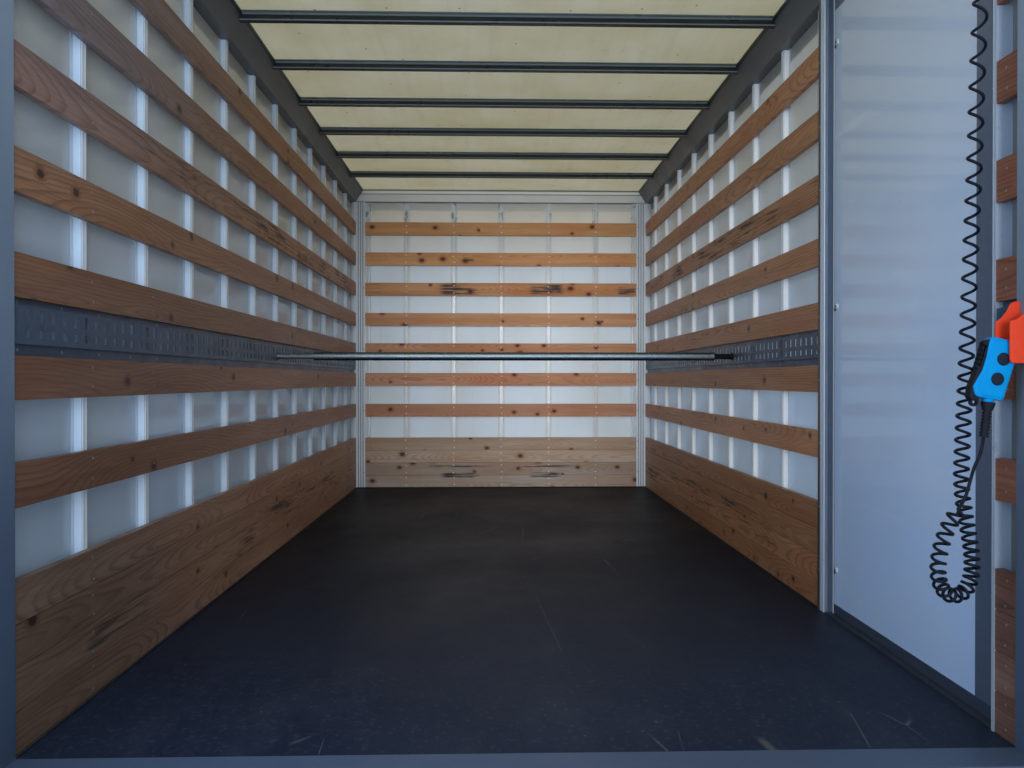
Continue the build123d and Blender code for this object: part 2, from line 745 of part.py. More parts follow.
def control():
    place = control_place()
    half_d = control_depth / 2
    body = plate(handset_outline, -half_d, half_d, control_corner_r)
    raised = plate(pad_outline, -half_d - pad_t, -half_d, control_corner_r / 2)
    neck = place.inverse() * relief_place(relief_neck / 2) * Cylinder(neck_r, relief_neck)
    add("control_handset", place * (body + raised + neck))
    grip = plate(grip_outline, grip_inset - half_d, half_d - grip_inset, grip_inset)
    lug = plate(((-lug_r, 0), (lug_r, 0), (lug_r, 2 * lug_r), (-lug_r, 2 * lug_r)), -grip_inset, grip_inset, 0)
    lug += Rot(90, 0, 0) * Cylinder(lug_r, 2 * grip_inset)
    lug = Pos(lug_centre[0], 0, lug_centre[1]) * (lug - Rot(90, 0, 0) * Cylinder(lug_hole_r, 2 * grip_inset))
    add("control_grip", place * ((grip + lug) - (body + neck)))
    for u, w in button_places:
        button = Pos(u, -half_d - pad_t - button_out / 2, w) * Rot(90, 0, 0) * Cylinder(button_r, button_out)
        add("control_buttons", place * button)
    add("control_strain_relief", relief_place(0) * relief())
    back = control_y + half_d + holder_clearance
    front = control_y - half_d - holder_finger_gap
    holder = plate([(post_in + x, control_z + z) for x, z in holder_plate_outline], back, back + holder_t, holder_edge_r)
    holder += plate([(post_in + x, control_z + z) for x, z in holder_finger_outline],
                    front - holder_finger_t, front, holder_edge_r)
    low, high = holder_finger_outline[-1][1], holder_finger_outline[0][1]
    holder += block((post_in - holder_t, post_in), (front - holder_finger_t, back + holder_t),
                    (control_z + low + holder_edge_r, control_z + high - holder_edge_r))
    add("control_holder", holder)


def relief():
    pitch = (relief_length - relief_cap_length) / relief_rib_count
    points = [(0, 0), (relief_cap_r, 0), (relief_cap_r, -relief_cap_rim), (relief_rib_r, -relief_cap_length)]
    for n in range(relief_rib_count):
        z = -relief_cap_length - n * pitch
        points += [(relief_root_r, z), (relief_root_r, z - pitch / 2), (relief_rib_r, z - pitch / 2),
                   (relief_rib_r, z - pitch)]
    points.append((0, -relief_length))
    return revolve(Plane.XZ * make_face(Polyline(*points, close=True)), Axis.Z)


def cord():
    gland = upright(gland_x, gland_y, gland_r, cant_z - gland_length, cant_z)
    add("cord_gland", gland)
    coil_points = [(gland_x, gland_y, cant_z - gland_length)]
    # x, y, height above the floor: down from the gland behind the control, round the loop and up again
    coil_points += [(x, y, floor_z + h) for x, y, h in (
        (1118, -2370, 2150), (1116, -2364, 1934), (1108, -2358, 1705), (1105, -2352, 1455), (1098, -2346, 1204),
        (1092, -2341, 951), (1083, -2341, 758), (1076, -2346, 647), (1085, -2352, 567), (1095, -2359, 497),
        (1093, -2367, 430), (1067, -2375, 388), (1021, -2383, 384), (993, -2391, 428), (991, -2398, 486),
        (1004, -2405, 548), (1034, -2410, 603))]
    add("cord_coil", tube(coil_points, coil_r))
    low = relief_place(-relief_length).position
    before = relief_place(-relief_length - cord_drop).position
    start = Vector(*coil_points[-1])
    after = start + (start - Vector(*coil_points[-2])).normalized() * cord_rise
    points = [start, after, (1064, -2402, floor_z + 663), (1084, -2388, floor_z + 700), before, low]
    print("lead", [tuple(round(value, 1) for value in Vector(*p)) for p in points])
    add("cord_lead", tube(points, cord_wire_r))


def tube(points, r):
    vectors = [Vector(*p) for p in points]
    radii = []
    for a, b, c in zip(vectors, vectors[1:], vectors[2:]):
        turn = radians((b - a).get_angle(c - b))
        radii.append(0.45 * min((b - a).length, (c - b).length) / tan(turn / 2))
    print("radii", [round(value) for value in radii])
    path = FilletPolyline(*vectors, radius=radii)
    section = Plane(origin=path @ 0, z_dir=path % 0) * Circle(r)
    solid = sweep(section, path=path)
    print("volume ratio", solid.volume / (section.area * path.length))
    return solid


for build in (subframe, floor, edge_rails, roof, skins, studs, lining, corner_posts, rear_frame,
              side_door_frame, side_door, rear_door, lamps, load_bar, control, cord):
    build()

os.makedirs("parts", exist_ok=True)
for node, solids in parts.items():
    shape = solids[0] if len(solids) == 1 else Compound(children=solids)
    export_step(shape, f"parts/{node}.step")
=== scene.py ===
import math
import random

import bmesh
import bpy
from mathutils import Matrix, Vector
from mathutils.bvhtree import BVHTree


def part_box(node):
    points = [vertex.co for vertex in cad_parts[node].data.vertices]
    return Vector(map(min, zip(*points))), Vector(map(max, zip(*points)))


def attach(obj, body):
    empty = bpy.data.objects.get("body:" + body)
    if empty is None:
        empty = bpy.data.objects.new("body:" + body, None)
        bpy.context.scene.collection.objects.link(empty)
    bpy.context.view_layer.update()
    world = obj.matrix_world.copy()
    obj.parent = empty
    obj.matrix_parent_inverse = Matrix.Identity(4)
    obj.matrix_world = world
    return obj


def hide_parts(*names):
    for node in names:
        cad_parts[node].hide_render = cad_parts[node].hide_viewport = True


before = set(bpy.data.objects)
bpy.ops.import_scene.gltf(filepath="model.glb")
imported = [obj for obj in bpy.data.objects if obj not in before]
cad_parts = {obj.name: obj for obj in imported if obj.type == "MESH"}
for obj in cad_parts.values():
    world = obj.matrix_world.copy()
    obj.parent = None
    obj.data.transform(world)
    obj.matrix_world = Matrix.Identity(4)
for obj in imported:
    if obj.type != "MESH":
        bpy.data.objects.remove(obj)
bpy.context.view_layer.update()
print("frame loaded:", len(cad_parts), "nodes")


# boxes of a node's separate solids, from a merged copy of its mesh
def solidBoxes(node):
    grid = bmesh.new()
    grid.from_mesh(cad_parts[node].data)
    bmesh.ops.remove_doubles(grid, verts=grid.verts, dist=0.00001)
    left = set(grid.verts)
    boxes = []
    while left:
        queue = [left.pop()]
        found = list(queue)
        while queue:
            for edge in queue.pop().link_edges:
                for vert in edge.verts:
                    if vert in left:
                        left.remove(vert)
                        queue.append(vert)
                        found.append(vert)
        low = Vector([min(v.co[i] for v in found) for i in range(3)])
        high = Vector([max(v.co[i] for v in found) for i in range(3)])
        boxes.append((low, high))
    grid.free()
    return sorted(boxes, key=lambda pair: (round(pair[0].z, 3), round(pair[0].y, 3), round(pair[0].x, 3)))


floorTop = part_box("floor_deck")[1].z
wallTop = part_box("left_wall_skin")[1].z
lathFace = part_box("right_laths")[0].x
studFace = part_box("right_laths")[1].x
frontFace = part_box("front_laths")[0].y
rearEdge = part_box("left_laths")[0].y
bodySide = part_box("edge_rails")[1].x
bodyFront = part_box("front_header")[1].y
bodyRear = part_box("rear_posts")[0].y

studRows = {"left": frontFace - 0.293, "right": frontFace - 0.242, "pitch": 0.406, "frontPitch": 0.4}
railSpan = (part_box("load_rails")[0].z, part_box("load_rails")[1].z)

cameraPlan = {"at": (-0.075, -4.252, 1.111), "tilt": 89.71, "turn": -1.42, "lens": 27.668, "sensor": 36}


def linked(name, data):
    thing = bpy.data.objects.new(name, data)
    bpy.context.scene.collection.objects.link(thing)
    return thing


def makeCamera():
    data = bpy.data.cameras.new("camera")
    data.lens = cameraPlan["lens"]
    data.sensor_width = cameraPlan["sensor"]
    camera = linked("camera", data)
    camera.location = cameraPlan["at"]
    camera.rotation_euler = (math.radians(cameraPlan["tilt"]), 0, math.radians(cameraPlan["turn"]))
    bpy.context.scene.camera = camera


makeCamera()
print("camera placed")


# a socket of a node tree; arithmetic on it adds Math nodes
class Wire:
    def __init__(self, graph, socket):
        self.graph = graph
        self.socket = socket

    def math(self, operation, first, second=None, clamp=False):
        settings = {"operation": operation, "use_clamp": clamp}
        values = [first] if second is None else [first, second]
        return self.graph.node("ShaderNodeMath", settings, values)

    def __add__(self, other):
        return self.math("ADD", self, other)

    __radd__ = __add__

    def __sub__(self, other):
        return self.math("SUBTRACT", self, other)

    def __rsub__(self, other):
        return self.math("SUBTRACT", other, self)

    def __mul__(self, other):
        return self.math("MULTIPLY", self, other)

    __rmul__ = __mul__

    def __truediv__(self, other):
        return self.math("DIVIDE", self, other)

    def __pow__(self, other):
        return self.math("POWER", self, other)

    def __abs__(self):
        return self.math("ABSOLUTE", self)

    def __gt__(self, other):
        return self.math("GREATER_THAN", self, other)

    def __lt__(self, other):
        return self.math("LESS_THAN", self, other)

    def sine(self):
        return self.math("SINE", self)

    def floor(self):
        return self.math("FLOOR", self)

    def fraction(self):
        return self.math("FRACT", self)

    def clamped(self):
        return self.math("ADD", self, 0.0, clamp=True)

    def larger(self, other):
        return self.math("MAXIMUM", self, other)

    def smaller(self, other):
        return self.math("MINIMUM", self, other)


# a node tree; one method makes any node: its settings first, then a value or a wire for each socket
class Graph:
    def __init__(self, tree):
        self.tree = tree

    def node(self, kind, settings=None, sockets=None, out=0):
        made = self.tree.nodes.new(kind)
        for name, value in (settings or {}).items():
            setattr(made, name, value)
        pairs = sockets.items() if isinstance(sockets, dict) else enumerate(sockets or [])
        for key, value in pairs:
            if isinstance(value, Wire):
                self.tree.links.new(value.socket, made.inputs[key])
            else:
                made.inputs[key].default_value = value
        return Wire(self, made.outputs[out]) if len(made.outputs) else None


# a material being made, on object coordinates in metres
class Finish(Graph):
    def __init__(self, name):
        self.material = bpy.data.materials.new(name)
        self.material.use_nodes = True
        self.material.node_tree.nodes.clear()
        super().__init__(self.material.node_tree)
        self.place = self.node("ShaderNodeTexCoord", out="Object")

    def axes(self, wanted="xyz"):
        outputs = self.node("ShaderNodeSeparateXYZ", None, [self.place]).socket.node.outputs
        wires = [Wire(self, outputs["xyz".index(letter)]) for letter in wanted]
        return wires if len(wires) > 1 else wires[0]

    def joined(self, x, y, z):
        return self.node("ShaderNodeCombineXYZ", None, [x, y, z])

    def stretched(self, scale, turn=(0, 0, 0)):
        return self.node("ShaderNodeMapping", None, {"Vector": self.place, "Scale": scale, "Rotation": turn})

    def noise(self, scale, detail=2.0, rough=0.5, vector=None):
        sockets = {"Vector": vector or self.place, "Scale": scale, "Detail": detail, "Roughness": rough}
        return self.node("ShaderNodeTexNoise", None, sockets)

    def cells(self, scale, vector=None, out="Distance", feature="F1", flat=False):
        sockets = {"Vector": vector or self.place, "Scale": scale}
        settings = {"voronoi_dimensions": "2D" if flat else "3D", "feature": feature}
        return self.node("ShaderNodeTexVoronoi", settings, sockets, out)

    def chance(self, number):
        return self.node("ShaderNodeTexWhiteNoise", {"noise_dimensions": "1D"}, {"W": number})

    def step(self, value, low, high, start=0.0, end=1.0):
        settings = {"interpolation_type": "SMOOTHSTEP"}
        return self.node("ShaderNodeMapRange", settings, [value, low, high, start, end])

    def mix(self, factor, first, second, way="MIX"):
        settings = {"data_type": "RGBA", "blend_type": way}
        ends = [(*c, 1) if isinstance(c, tuple) and len(c) == 3 else c for c in (first, second)]
        return self.node("ShaderNodeMix", settings, {0: factor, 6: ends[0], 7: ends[1]}, 2)

    # colours laid over a first one, each as (mask, colour) or (value, low, high, share, colour)
    def layers(self, base, *coats):
        for coat in coats:
            mask = coat[0] if len(coat) == 2 else self.step(*coat[:3]) * coat[3]
            base = self.mix(mask, base, coat[-1])
        return base

    def bump(self, height, distance, strength=1.0):
        sockets = {"Height": height, "Distance": distance, "Strength": strength}
        return self.node("ShaderNodeBump", None, sockets)

    def gloss(self, colour, rough, metal=0.0, normal=None, coat=0.0, coatRough=0.1, specular=0.5):
        sockets = {"Base Color": (*colour, 1) if isinstance(colour, tuple) else colour, "Roughness": rough,
                   "Metallic": metal, "Coat Weight": coat, "Coat Roughness": coatRough,
                   "Specular IOR Level": specular}
        if normal is not None:
            sockets["Normal"] = normal
        return self.node("ShaderNodeBsdfPrincipled", None, sockets)

    def done(self, shader):
        self.node("ShaderNodeOutputMaterial", None, [shader])
        return self.material

    # drawn metal: fine lines along one axis in its roughness and its bump
    def drawnMetal(self, base, low, high, metal, along="Z", grime=None):
        scale = tuple(2 if axis == along else 700 for axis in "XYZ")
        drawn = self.noise(1.0, 3, 0.6, self.stretched(scale))
        worn = self.step(drawn, 0.3, 0.7, low, high)
        worn = worn if grime is None else worn + grime
        return self.done(self.gloss(base, worn, metal, self.bump(drawn, 0.0001, 0.12)))


def shaded(tone, share):
    return tuple(c * share for c in tone)


def paint(material, *nodes):
    for name in nodes:
        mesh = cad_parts[name].data
        mesh.materials.clear()
        mesh.materials.append(material)


creaseAngle = 38


def makePiece(name, mesh, material, body, replaced=(), smooth=True):
    for face in mesh.polygons:
        face.use_smooth = smooth
    if smooth:
        mesh.set_sharp_from_angle(angle=math.radians(creaseAngle))
    mesh.materials.clear()
    mesh.materials.append(material)
    piece = linked(name, mesh)
    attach(piece, body)
    if replaced:
        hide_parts(*replaced)


def gridMesh(name, grid):
    mesh = bpy.data.meshes.new(name)
    grid.to_mesh(mesh)
    grid.free()
    return mesh


def meshFrom(name, corners, faces, merge=0.00001):
    grid = bmesh.new()
    made = [grid.verts.new(corner) for corner in corners]
    for face in faces:
        grid.faces.new([made[i] for i in face])
    bmesh.ops.remove_doubles(grid, verts=grid.verts, dist=merge)
    bmesh.ops.recalc_face_normals(grid, faces=grid.faces)
    return gridMesh(name, grid)


def joinMeshes(name, meshes):
    grid = bmesh.new()
    for mesh in meshes:
        grid.from_mesh(mesh)
    return gridMesh(name, grid)


# faces between rings of corners; around: the last ring meets the first one
def ringFaces(rings, sides, around=False):
    faces = []
    for ring in range(rings if around else rings - 1):
        here, there = ring * sides, (ring + 1) % rings * sides
        for n in range(sides):
            m = (n + 1) % sides
            faces.append((here + n, here + m, there + m, there + n))
    return faces


# rings of corners that close to a point at each end
def ringsMesh(name, rings, lowEnd, highEnd):
    sides = len(rings[0])
    corners = [corner for ring in rings for corner in ring] + [lowEnd, highEnd]
    faces = ringFaces(len(rings), sides)
    last = (len(rings) - 1) * sides
    for n in range(sides):
        m = (n + 1) % sides
        faces.append((len(corners) - 2, m, n))
        faces.append((len(corners) - 1, last + n, last + m))
    return meshFrom(name, corners, faces)


def roundRing(radius, height, sides, share=0.0):
    angles = [2 * math.pi * (n + share) / sides for n in range(sides)]
    return [(radius * math.cos(a), radius * math.sin(a), height) for a in angles]


# a closed turned form round +Z, from (radius, height) pairs that start and end on the axis, in millimetres
def turned(name, profile, sides):
    profile = [(radius / 1000, height / 1000) for radius, height in profile]
    rings = [roundRing(radius, height, sides) for radius, height in profile[1:-1]]
    return ringsMesh(name, rings, (0, 0, profile[0][1]), (0, 0, profile[-1][1]))


# the route's control points in metres: x, y and height above the floor
cordPlan = {
    "coil": ((1.118, -2.370, 2.360), (1.118, -2.370, 2.150), (1.116, -2.364, 1.934), (1.108, -2.358, 1.705),
             (1.105, -2.352, 1.455), (1.098, -2.346, 1.204), (1.092, -2.341, 0.951), (1.083, -2.341, 0.758),
             (1.076, -2.346, 0.647), (1.085, -2.352, 0.567), (1.095, -2.359, 0.497), (1.093, -2.367, 0.430),
             (1.067, -2.375, 0.388), (1.021, -2.383, 0.384), (0.993, -2.391, 0.428), (0.991, -2.398, 0.486),
             (1.004, -2.405, 0.548), (1.034, -2.410, 0.603)),
    "lead": ((1.0483, -2.4124, 0.6293), (1.064, -2.402, 0.663), (1.084, -2.388, 0.700),
             (1.1089, -2.376, 0.7316), (1.1138, -2.376, 0.7692)),
    "length": 6.38, "coilRadius": 0.0155, "wireRadius": 0.0038, "pointsPerTurn": 14, "ease": (0.035, 0.012),
    # share of the coil's way and the turn's pitch there: long at the top, tight round the loop
    "pitch": ((0.0, 0.074), (0.26, 0.070), (0.36, 0.058), (0.467, 0.048), (0.546, 0.046), (0.60, 0.040),
              (0.64, 0.034), (0.68, 0.030), (0.72, 0.029), (0.745, 0.026), (0.77, 0.023), (0.80, 0.021),
              (0.835, 0.0195), (0.86, 0.0175), (0.875, 0.0175), (0.905, 0.0185), (0.925, 0.022),
              (0.945, 0.026), (1.0, 0.0265)),
}


# the value that a table of (place, value) pairs gives at a place
def valueAt(table, where):
    for (a, first), (b, second) in zip(table, table[1:]):
        if where <= b:
            return first + (second - first) * (where - a) / (b - a)
    return table[-1][1]


def splineCurve(name, points, order):
    data = bpy.data.curves.new(name, "CURVE")
    data.dimensions = "3D"
    line = data.splines.new("NURBS")
    line.points.add(len(points) - 1)
    for point, place in zip(line.points, points):
        point.co = (*place, 1)
    line.order_u = order
    line.use_endpoint_u = True
    return data


# points read from the route's smooth line
def routePoints(points, resolution):
    data = splineCurve("route", points, 3)
    data.splines[0].resolution_u = resolution
    holder = linked("route", data)
    line = bpy.data.meshes.new_from_object(holder)
    places = [v.co.copy() for v in line.vertices]
    bpy.data.objects.remove(holder)
    return places


def makeCord(material):
    plan = cordPlan
    up = Vector((0, 0, floorTop))
    line = routePoints([Vector(p) + up for p in (*plan["coil"], *plan["lead"])], 24)
    coilEnd = Vector(plan["coil"][-1]) + up
    last = min(range(len(line)), key=lambda i: (line[i] - coilEnd).length)
    lengths = [0.0]
    for a, b in zip(line, line[1:]):
        lengths.append(lengths[-1] + (b - a).length)
    coiled = lengths[last]
    # a side direction carried along the line without twisting
    side = Vector((1, 0, 0))
    frames = []
    for i, place in enumerate(line):
        along = (line[min(i + 1, len(line) - 1)] - line[max(i - 1, 0)]).normalized()
        side = (side - along * side.dot(along)).normalized()
        frames.append((place, side.copy(), along.cross(side)))
    points = [line[0].copy()]
    easeIn, easeOut = plan["ease"]
    at = 0.0
    angle = 0.0
    index = 0
    while at < coiled:
        at += valueAt(plan["pitch"], at / coiled) / plan["pointsPerTurn"]
        angle -= 2 * math.pi / plan["pointsPerTurn"]
        while index < last and lengths[index + 1] < at:
            index += 1
        share = min(1.0, (at - lengths[index]) / max(lengths[index + 1] - lengths[index], 1e-9))
        place, sideways, across = (a.lerp(b, share) for a, b in zip(frames[index], frames[index + 1]))
        reach = plan["coilRadius"] * min(1.0, at / easeIn, max(0.0, coiled - at) / easeOut)
        points.append(place + sideways * (reach * math.cos(angle)) + across * (reach * math.sin(angle)))
    points += [line[i] for i in range(last + 2, len(line), 4)]
    points[-1] = line[-1]
    data = splineCurve("cord", points, 3)
    data.splines[0].resolution_u = 2
    data.bevel_depth = plan["wireRadius"]
    data.bevel_resolution = 2
    data.use_fill_caps = True
    data.materials.append(material)
    cord = linked("curly_cord", data)
    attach(cord, "root")
    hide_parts("cord_coil", "cord_lead")
    print("cord made of", len(points), "points")


def cordBlack():
    finish = Finish("cord black")
    grain = finish.noise(900, 1)
    return finish.done(finish.gloss((0.003, 0.005, 0.012), finish.step(grain, 0.3, 0.7, 0.36, 0.48),
                                    normal=finish.bump(grain, 0.0001, 0.4), specular=0.28))


makeCord(cordBlack())

kickRise = 0.43


# side walls: darker near the opening, most of all low on the left, with painted light and shade
def sideLightTint(finish, shade):
    x, y, z = finish.axes()
    leftWall, rightWall = x < 0, x > 0
    near = finish.step(y, -2.3, 0.2, 1.0, 0.0)
    low = finish.step(z, 1.0, 1.75, 1.0, 0.0) * leftWall
    high = near * leftWall * finish.step(z, 1.5, 2.1)
    behind = (y < -2.2) * rightWall
    shadow = behind * finish.step(z, 0.3, 1.1, 1.0, 0.0)
    inside = 1 - behind
    kick = z < floorTop + kickRise
    leftKick = kick * leftWall
    doorward = finish.step(y, -2.3, -1.0, 1.0, 0.0) * kick
    farKickSkyLight = finish.step(y, 0.2, 2.2) * kick
    # darker near the opening and low on the left; painted light: the right wall made 20 % brighter
    shade = shade * (1 - near * (low * (0.50 - leftKick * 0.26) + 0.12)) * (rightWall * 0.2 + 1)
    # painted shade on the short wall behind the side door; painted light: the left kickboards made brighter
    shade = shade * (1 - behind * 0.5) * (leftKick * 0.30 + 1)
    shade = shade * (1 - doorward * inside * 0.42) * (1 - kick * rightWall * inside * 0.10)
    # painted bluish light: a sheen high on the left boards near the opening, sky light on the lower left
    # boards, the kickboards and in the shadow behind the door
    red = (1 - high * 0.44) * (1 - leftKick * near * 0.15) * (1 + behind * 0.14 - shadow * 0.30)
    green = 1 - high * 0.09 + leftKick * 0.12 - behind * 0.07 + shadow * 0.12 + farKickSkyLight * 0.15
    blue = 1 + high + low * 0.22 + leftKick * (near * 0.25 + 0.12) + behind * 0.18
    blue = blue + shadow * 0.55 + farKickSkyLight * 0.35
    return finish.joined(shade * red, shade * green, shade * blue)


# front wall, in painted light: warmer under the roof as if lit through it, bluer and paler towards the floor
# as if lit by the sky
def frontLightTint(finish, shade):
    z = finish.axes("z")
    high = finish.step(z, 0.9, 2.5)
    floorward = finish.step(z, floorTop, floorTop + 0.42, 1.0, 0.0)
    cool = (z > floorTop + kickRise) * (1 - high)
    return finish.joined(shade * (high * 0.22 + 0.92), shade * (high * 0.22 + 0.94 + floorward * 0.14),
                         shade * (high * 0.08 + 1.12 + floorward * 0.42 + cool * 0.28))


# softwood boards: growth rings are cut at a slant, so they run along each board in arches; each board has
# its own tone, knots and scuffs; marks: place along, low, high, half length, level, strength of a rubbed spot
def softwood(name, along, tones, boardFrom, boardPitch, marks, wear, seed=0.0):
    finish = Finish(name)
    x, y, z = finish.axes()
    sideWall = along == "Y"
    length, depth = (y, x) if sideWall else (x, y)
    board = ((z - boardFrom) / boardPitch).floor()
    side = (x > 0) if sideWall else 0.0
    lot = finish.chance(board + side * 17 + seed)
    lot2 = finish.chance(board * 3.1 + side * 5 + seed + 40)
    run = length + lot * 9
    rise = z + lot2 * 3
    # knots: round ones, in the cells that chance picks; growth lines bend round them
    knotPlace = finish.joined(run * tones["knotPitch"] * 0.74, rise * tones["knotPitch"], 0.0)
    knotLot = finish.cells(1.0, knotPlace, out="Color", flat=True)
    picked = finish.node("ShaderNodeSeparateColor", None, [knotLot]) > 1 - tones["knotShare"]
    knotSize = finish.node("ShaderNodeSeparateColor", None, [knotLot], 1)
    knot = finish.cells(1.0, knotPlace, flat=True) / (knotSize * 0.8 + 0.55)
    core = finish.step(knot, tones["knot"] * 0.8, tones["knot"] * 1.3, 1.0, 0.0) * picked
    halo = finish.step(knot, tones["knot"] * 1.1, tones["knot"] * 2.8, 1.0, 0.0) * picked
    slow = finish.noise(1.0, 1, 0.4, finish.joined(run * 0.9, lot * 30, 0.0))
    warp = finish.noise(1.0, 2, 0.45, finish.joined(run * 2.2, rise * 9, depth * 6))
    level = z - boardFrom - board * boardPitch - boardPitch * (lot2 * 0.5 + 0.1)
    under = slow * 0.30 - 0.11 + (lot - 0.5) * 0.08
    radius = (level * level + under * under) ** 0.5 + warp * 0.018 + halo * 0.007
    ring = (radius / tones["ring"]).fraction()
    fade = finish.noise(1.0, 2, 0.5, finish.joined(run * 0.9, rise * 14, lot * 7))
    line = finish.step(ring, 0.45, 0.95) * finish.step(ring, 0.955, 1.0, 1.0, 0.0)
    line = line * finish.step(fade, 0.3, 0.62, 0.35, 1.0)
    fibre = finish.noise(1.0, 3, 0.6, finish.joined(run * 7, rise * 420, depth * 420))
    pore = finish.noise(1.0, 3, 0.5, finish.joined(run * 1.3, rise * 22, depth * 22))
    hue = finish.noise(1.0, 2, 0.5, finish.joined(run * 1.4, lot * 11, rise * 3))
    base = finish.mix(finish.step(pore, 0.3, 0.7), tones["pale"], tones["mid"])
    base = finish.layers(base, (hue, 0.45, 0.75, 0.55, tones["warm"]), (line * tones["grain"], tones["dark"]),
                         (fibre, 0.42, 0.78, 0.42, tones["dark"]), (halo * 0.7, tones["ringed"]),
                         (core * 0.92, tones["heart"]))
    shade = finish.step(lot, 0.0, 1.0, 0.84, 1.12)
    # painted light and shade laid over the wood's colour, by wall
    tint = sideLightTint(finish, shade) if sideWall else frontLightTint(finish, shade)
    base = finish.mix(1.0, base, tint, "MULTIPLY")
    # rubbed-in dirt, streaked with the grain
    streak = finish.noise(1.0, 4, 0.65, finish.joined(run * 3.4, rise * 85, 0.0))
    blot = finish.noise(1.0, 3, 0.6, finish.joined(run * 2.2, rise * 8, 0.0))
    dirt = finish.step(streak, 0.56, 0.7) * finish.step(blot, 0.5, 0.66) * wear
    for centre, low, high, size, start, strength in marks:
        inside = finish.step(abs(length - centre), size * 0.55, size, 1.0, 0.0)
        off = abs(z - (low + high) / 2)
        inside = inside * finish.step(off, (high - low) * 0.3, (high - low) * 0.5, 1.0, 0.0)
        rubbed = finish.step(streak * 0.6 + blot * 0.4, start, start + 0.1)
        dirt = dirt.larger(inside * rubbed * strength)
    dirt = dirt.clamped()
    # scratches with the grain, where the bare wood shows
    scratch = finish.noise(1.0, 2, 0.5, finish.joined(run * 2.6, rise * 300, lot * 5))
    base = finish.layers(base, (dirt, tones["dirt"]), (scratch, 0.70, 0.74, wear, tones["pale"]))
    rough = finish.step(fibre, 0.3, 0.8, tones["rough"] - 0.06, tones["rough"] + 0.1) + dirt * 0.15
    height = fibre * 0.6 - line * 0.35 - core * 0.4
    return finish.done(finish.gloss(base, rough, normal=finish.bump(height, 0.0005, 0.5)))


frontTones = {"pale": (0.62, 0.340, 0.150), "mid": (0.52, 0.250, 0.095), "dark": (0.30, 0.110, 0.040),
              "warm": (0.52, 0.175, 0.060), "heart": (0.075, 0.026, 0.014), "ringed": (0.33, 0.105, 0.035),
              "dirt": (0.030, 0.040, 0.052), "grain": 0.5, "rough": 0.5, "knot": 0.095, "knotPitch": 8.0,
              "knotShare": 0.42, "ring": 0.0075}
kickTones = {**frontTones, "pale": (0.53, 0.395, 0.258), "mid": (0.46, 0.305, 0.165),
             "dark": (0.30, 0.150, 0.070), "warm": (0.46, 0.215, 0.095), "heart": (0.080, 0.030, 0.016),
             "ringed": (0.31, 0.120, 0.048), "dirt": (0.030, 0.038, 0.050), "grain": 0.45, "knotShare": 0.50,
             "ring": 0.009}
sideTones = {**frontTones, "pale": (0.45, 0.215, 0.105), "mid": (0.36, 0.158, 0.072),
             "dark": (0.125, 0.046, 0.024), "warm": (0.37, 0.130, 0.054), "heart": (0.040, 0.016, 0.011),
             "ringed": (0.19, 0.062, 0.028), "dirt": (0.018, 0.020, 0.022), "grain": 0.55, "rough": 0.46,
             "knot": 0.075, "knotShare": 0.16, "ring": 0.011}

lathRows = [pair[0].z for pair in solidBoxes("front_laths")]
lathPlan = {"from": floorTop + 0.03, "pitch": 0.254, "plank": 0.1055}
thirdLath = (lathRows[4], lathRows[4] + 0.108)
sideMarks = ((1.7, *thirdLath, 0.9, 0.50, 0.95), (0.2, *thirdLath, 0.8, 0.47, 0.95),
             (-1.1, *thirdLath, 0.9, 0.52, 0.9))
frontMarks = ((-0.36, *thirdLath, 0.19, 0.43, 0.95), (0.38, *thirdLath, 0.17, 0.43, 0.95),
              (1.06, *thirdLath, 0.09, 0.47, 0.9), (-1.08, *thirdLath, 0.08, 0.5, 0.7),
              (-0.28, lathRows[5], lathRows[5] + 0.07, 0.06, 0.45, 0.8))
lowBand, middleBand = (floorTop + 0.08, floorTop + 0.13), (floorTop + 0.17, floorTop + 0.19)
kickMarks = ((-0.36, *lowBand, 0.17, 0.40, 0.95), (0.37, *lowBand, 0.15, 0.40, 0.95),
             (-0.35, *middleBand, 0.3, 0.42, 0.8), (0.38, *middleBand, 0.26, 0.42, 0.8))
sideKickMarks = ((0.4, floorTop + 0.12, floorTop + 0.27, 1.4, 0.50, 0.9),
                 (-1.2, floorTop + 0.06, floorTop + 0.30, 1.2, 0.53, 0.85),
                 (1.8, floorTop + 0.1, floorTop + 0.2, 0.7, 0.50, 0.9))

laths, planks = (lathPlan["from"], lathPlan["pitch"]), (floorTop, lathPlan["plank"])
paint(softwood("side lath wood", "Y", sideTones, *laths, sideMarks, 0.25), "left_laths", "right_laths")
paint(softwood("front lath wood", "X", frontTones, *laths, frontMarks, 0.12, 3.0), "front_laths")
paint(softwood("side kick wood", "Y", sideTones, *planks, sideKickMarks, 0.5, 7.0),
      "left_kickboard", "right_kickboards")
paint(softwood("front kick wood", "X", kickTones, *planks, kickMarks, 0.3, 11.0), "front_kickboard")
print("wood painted")
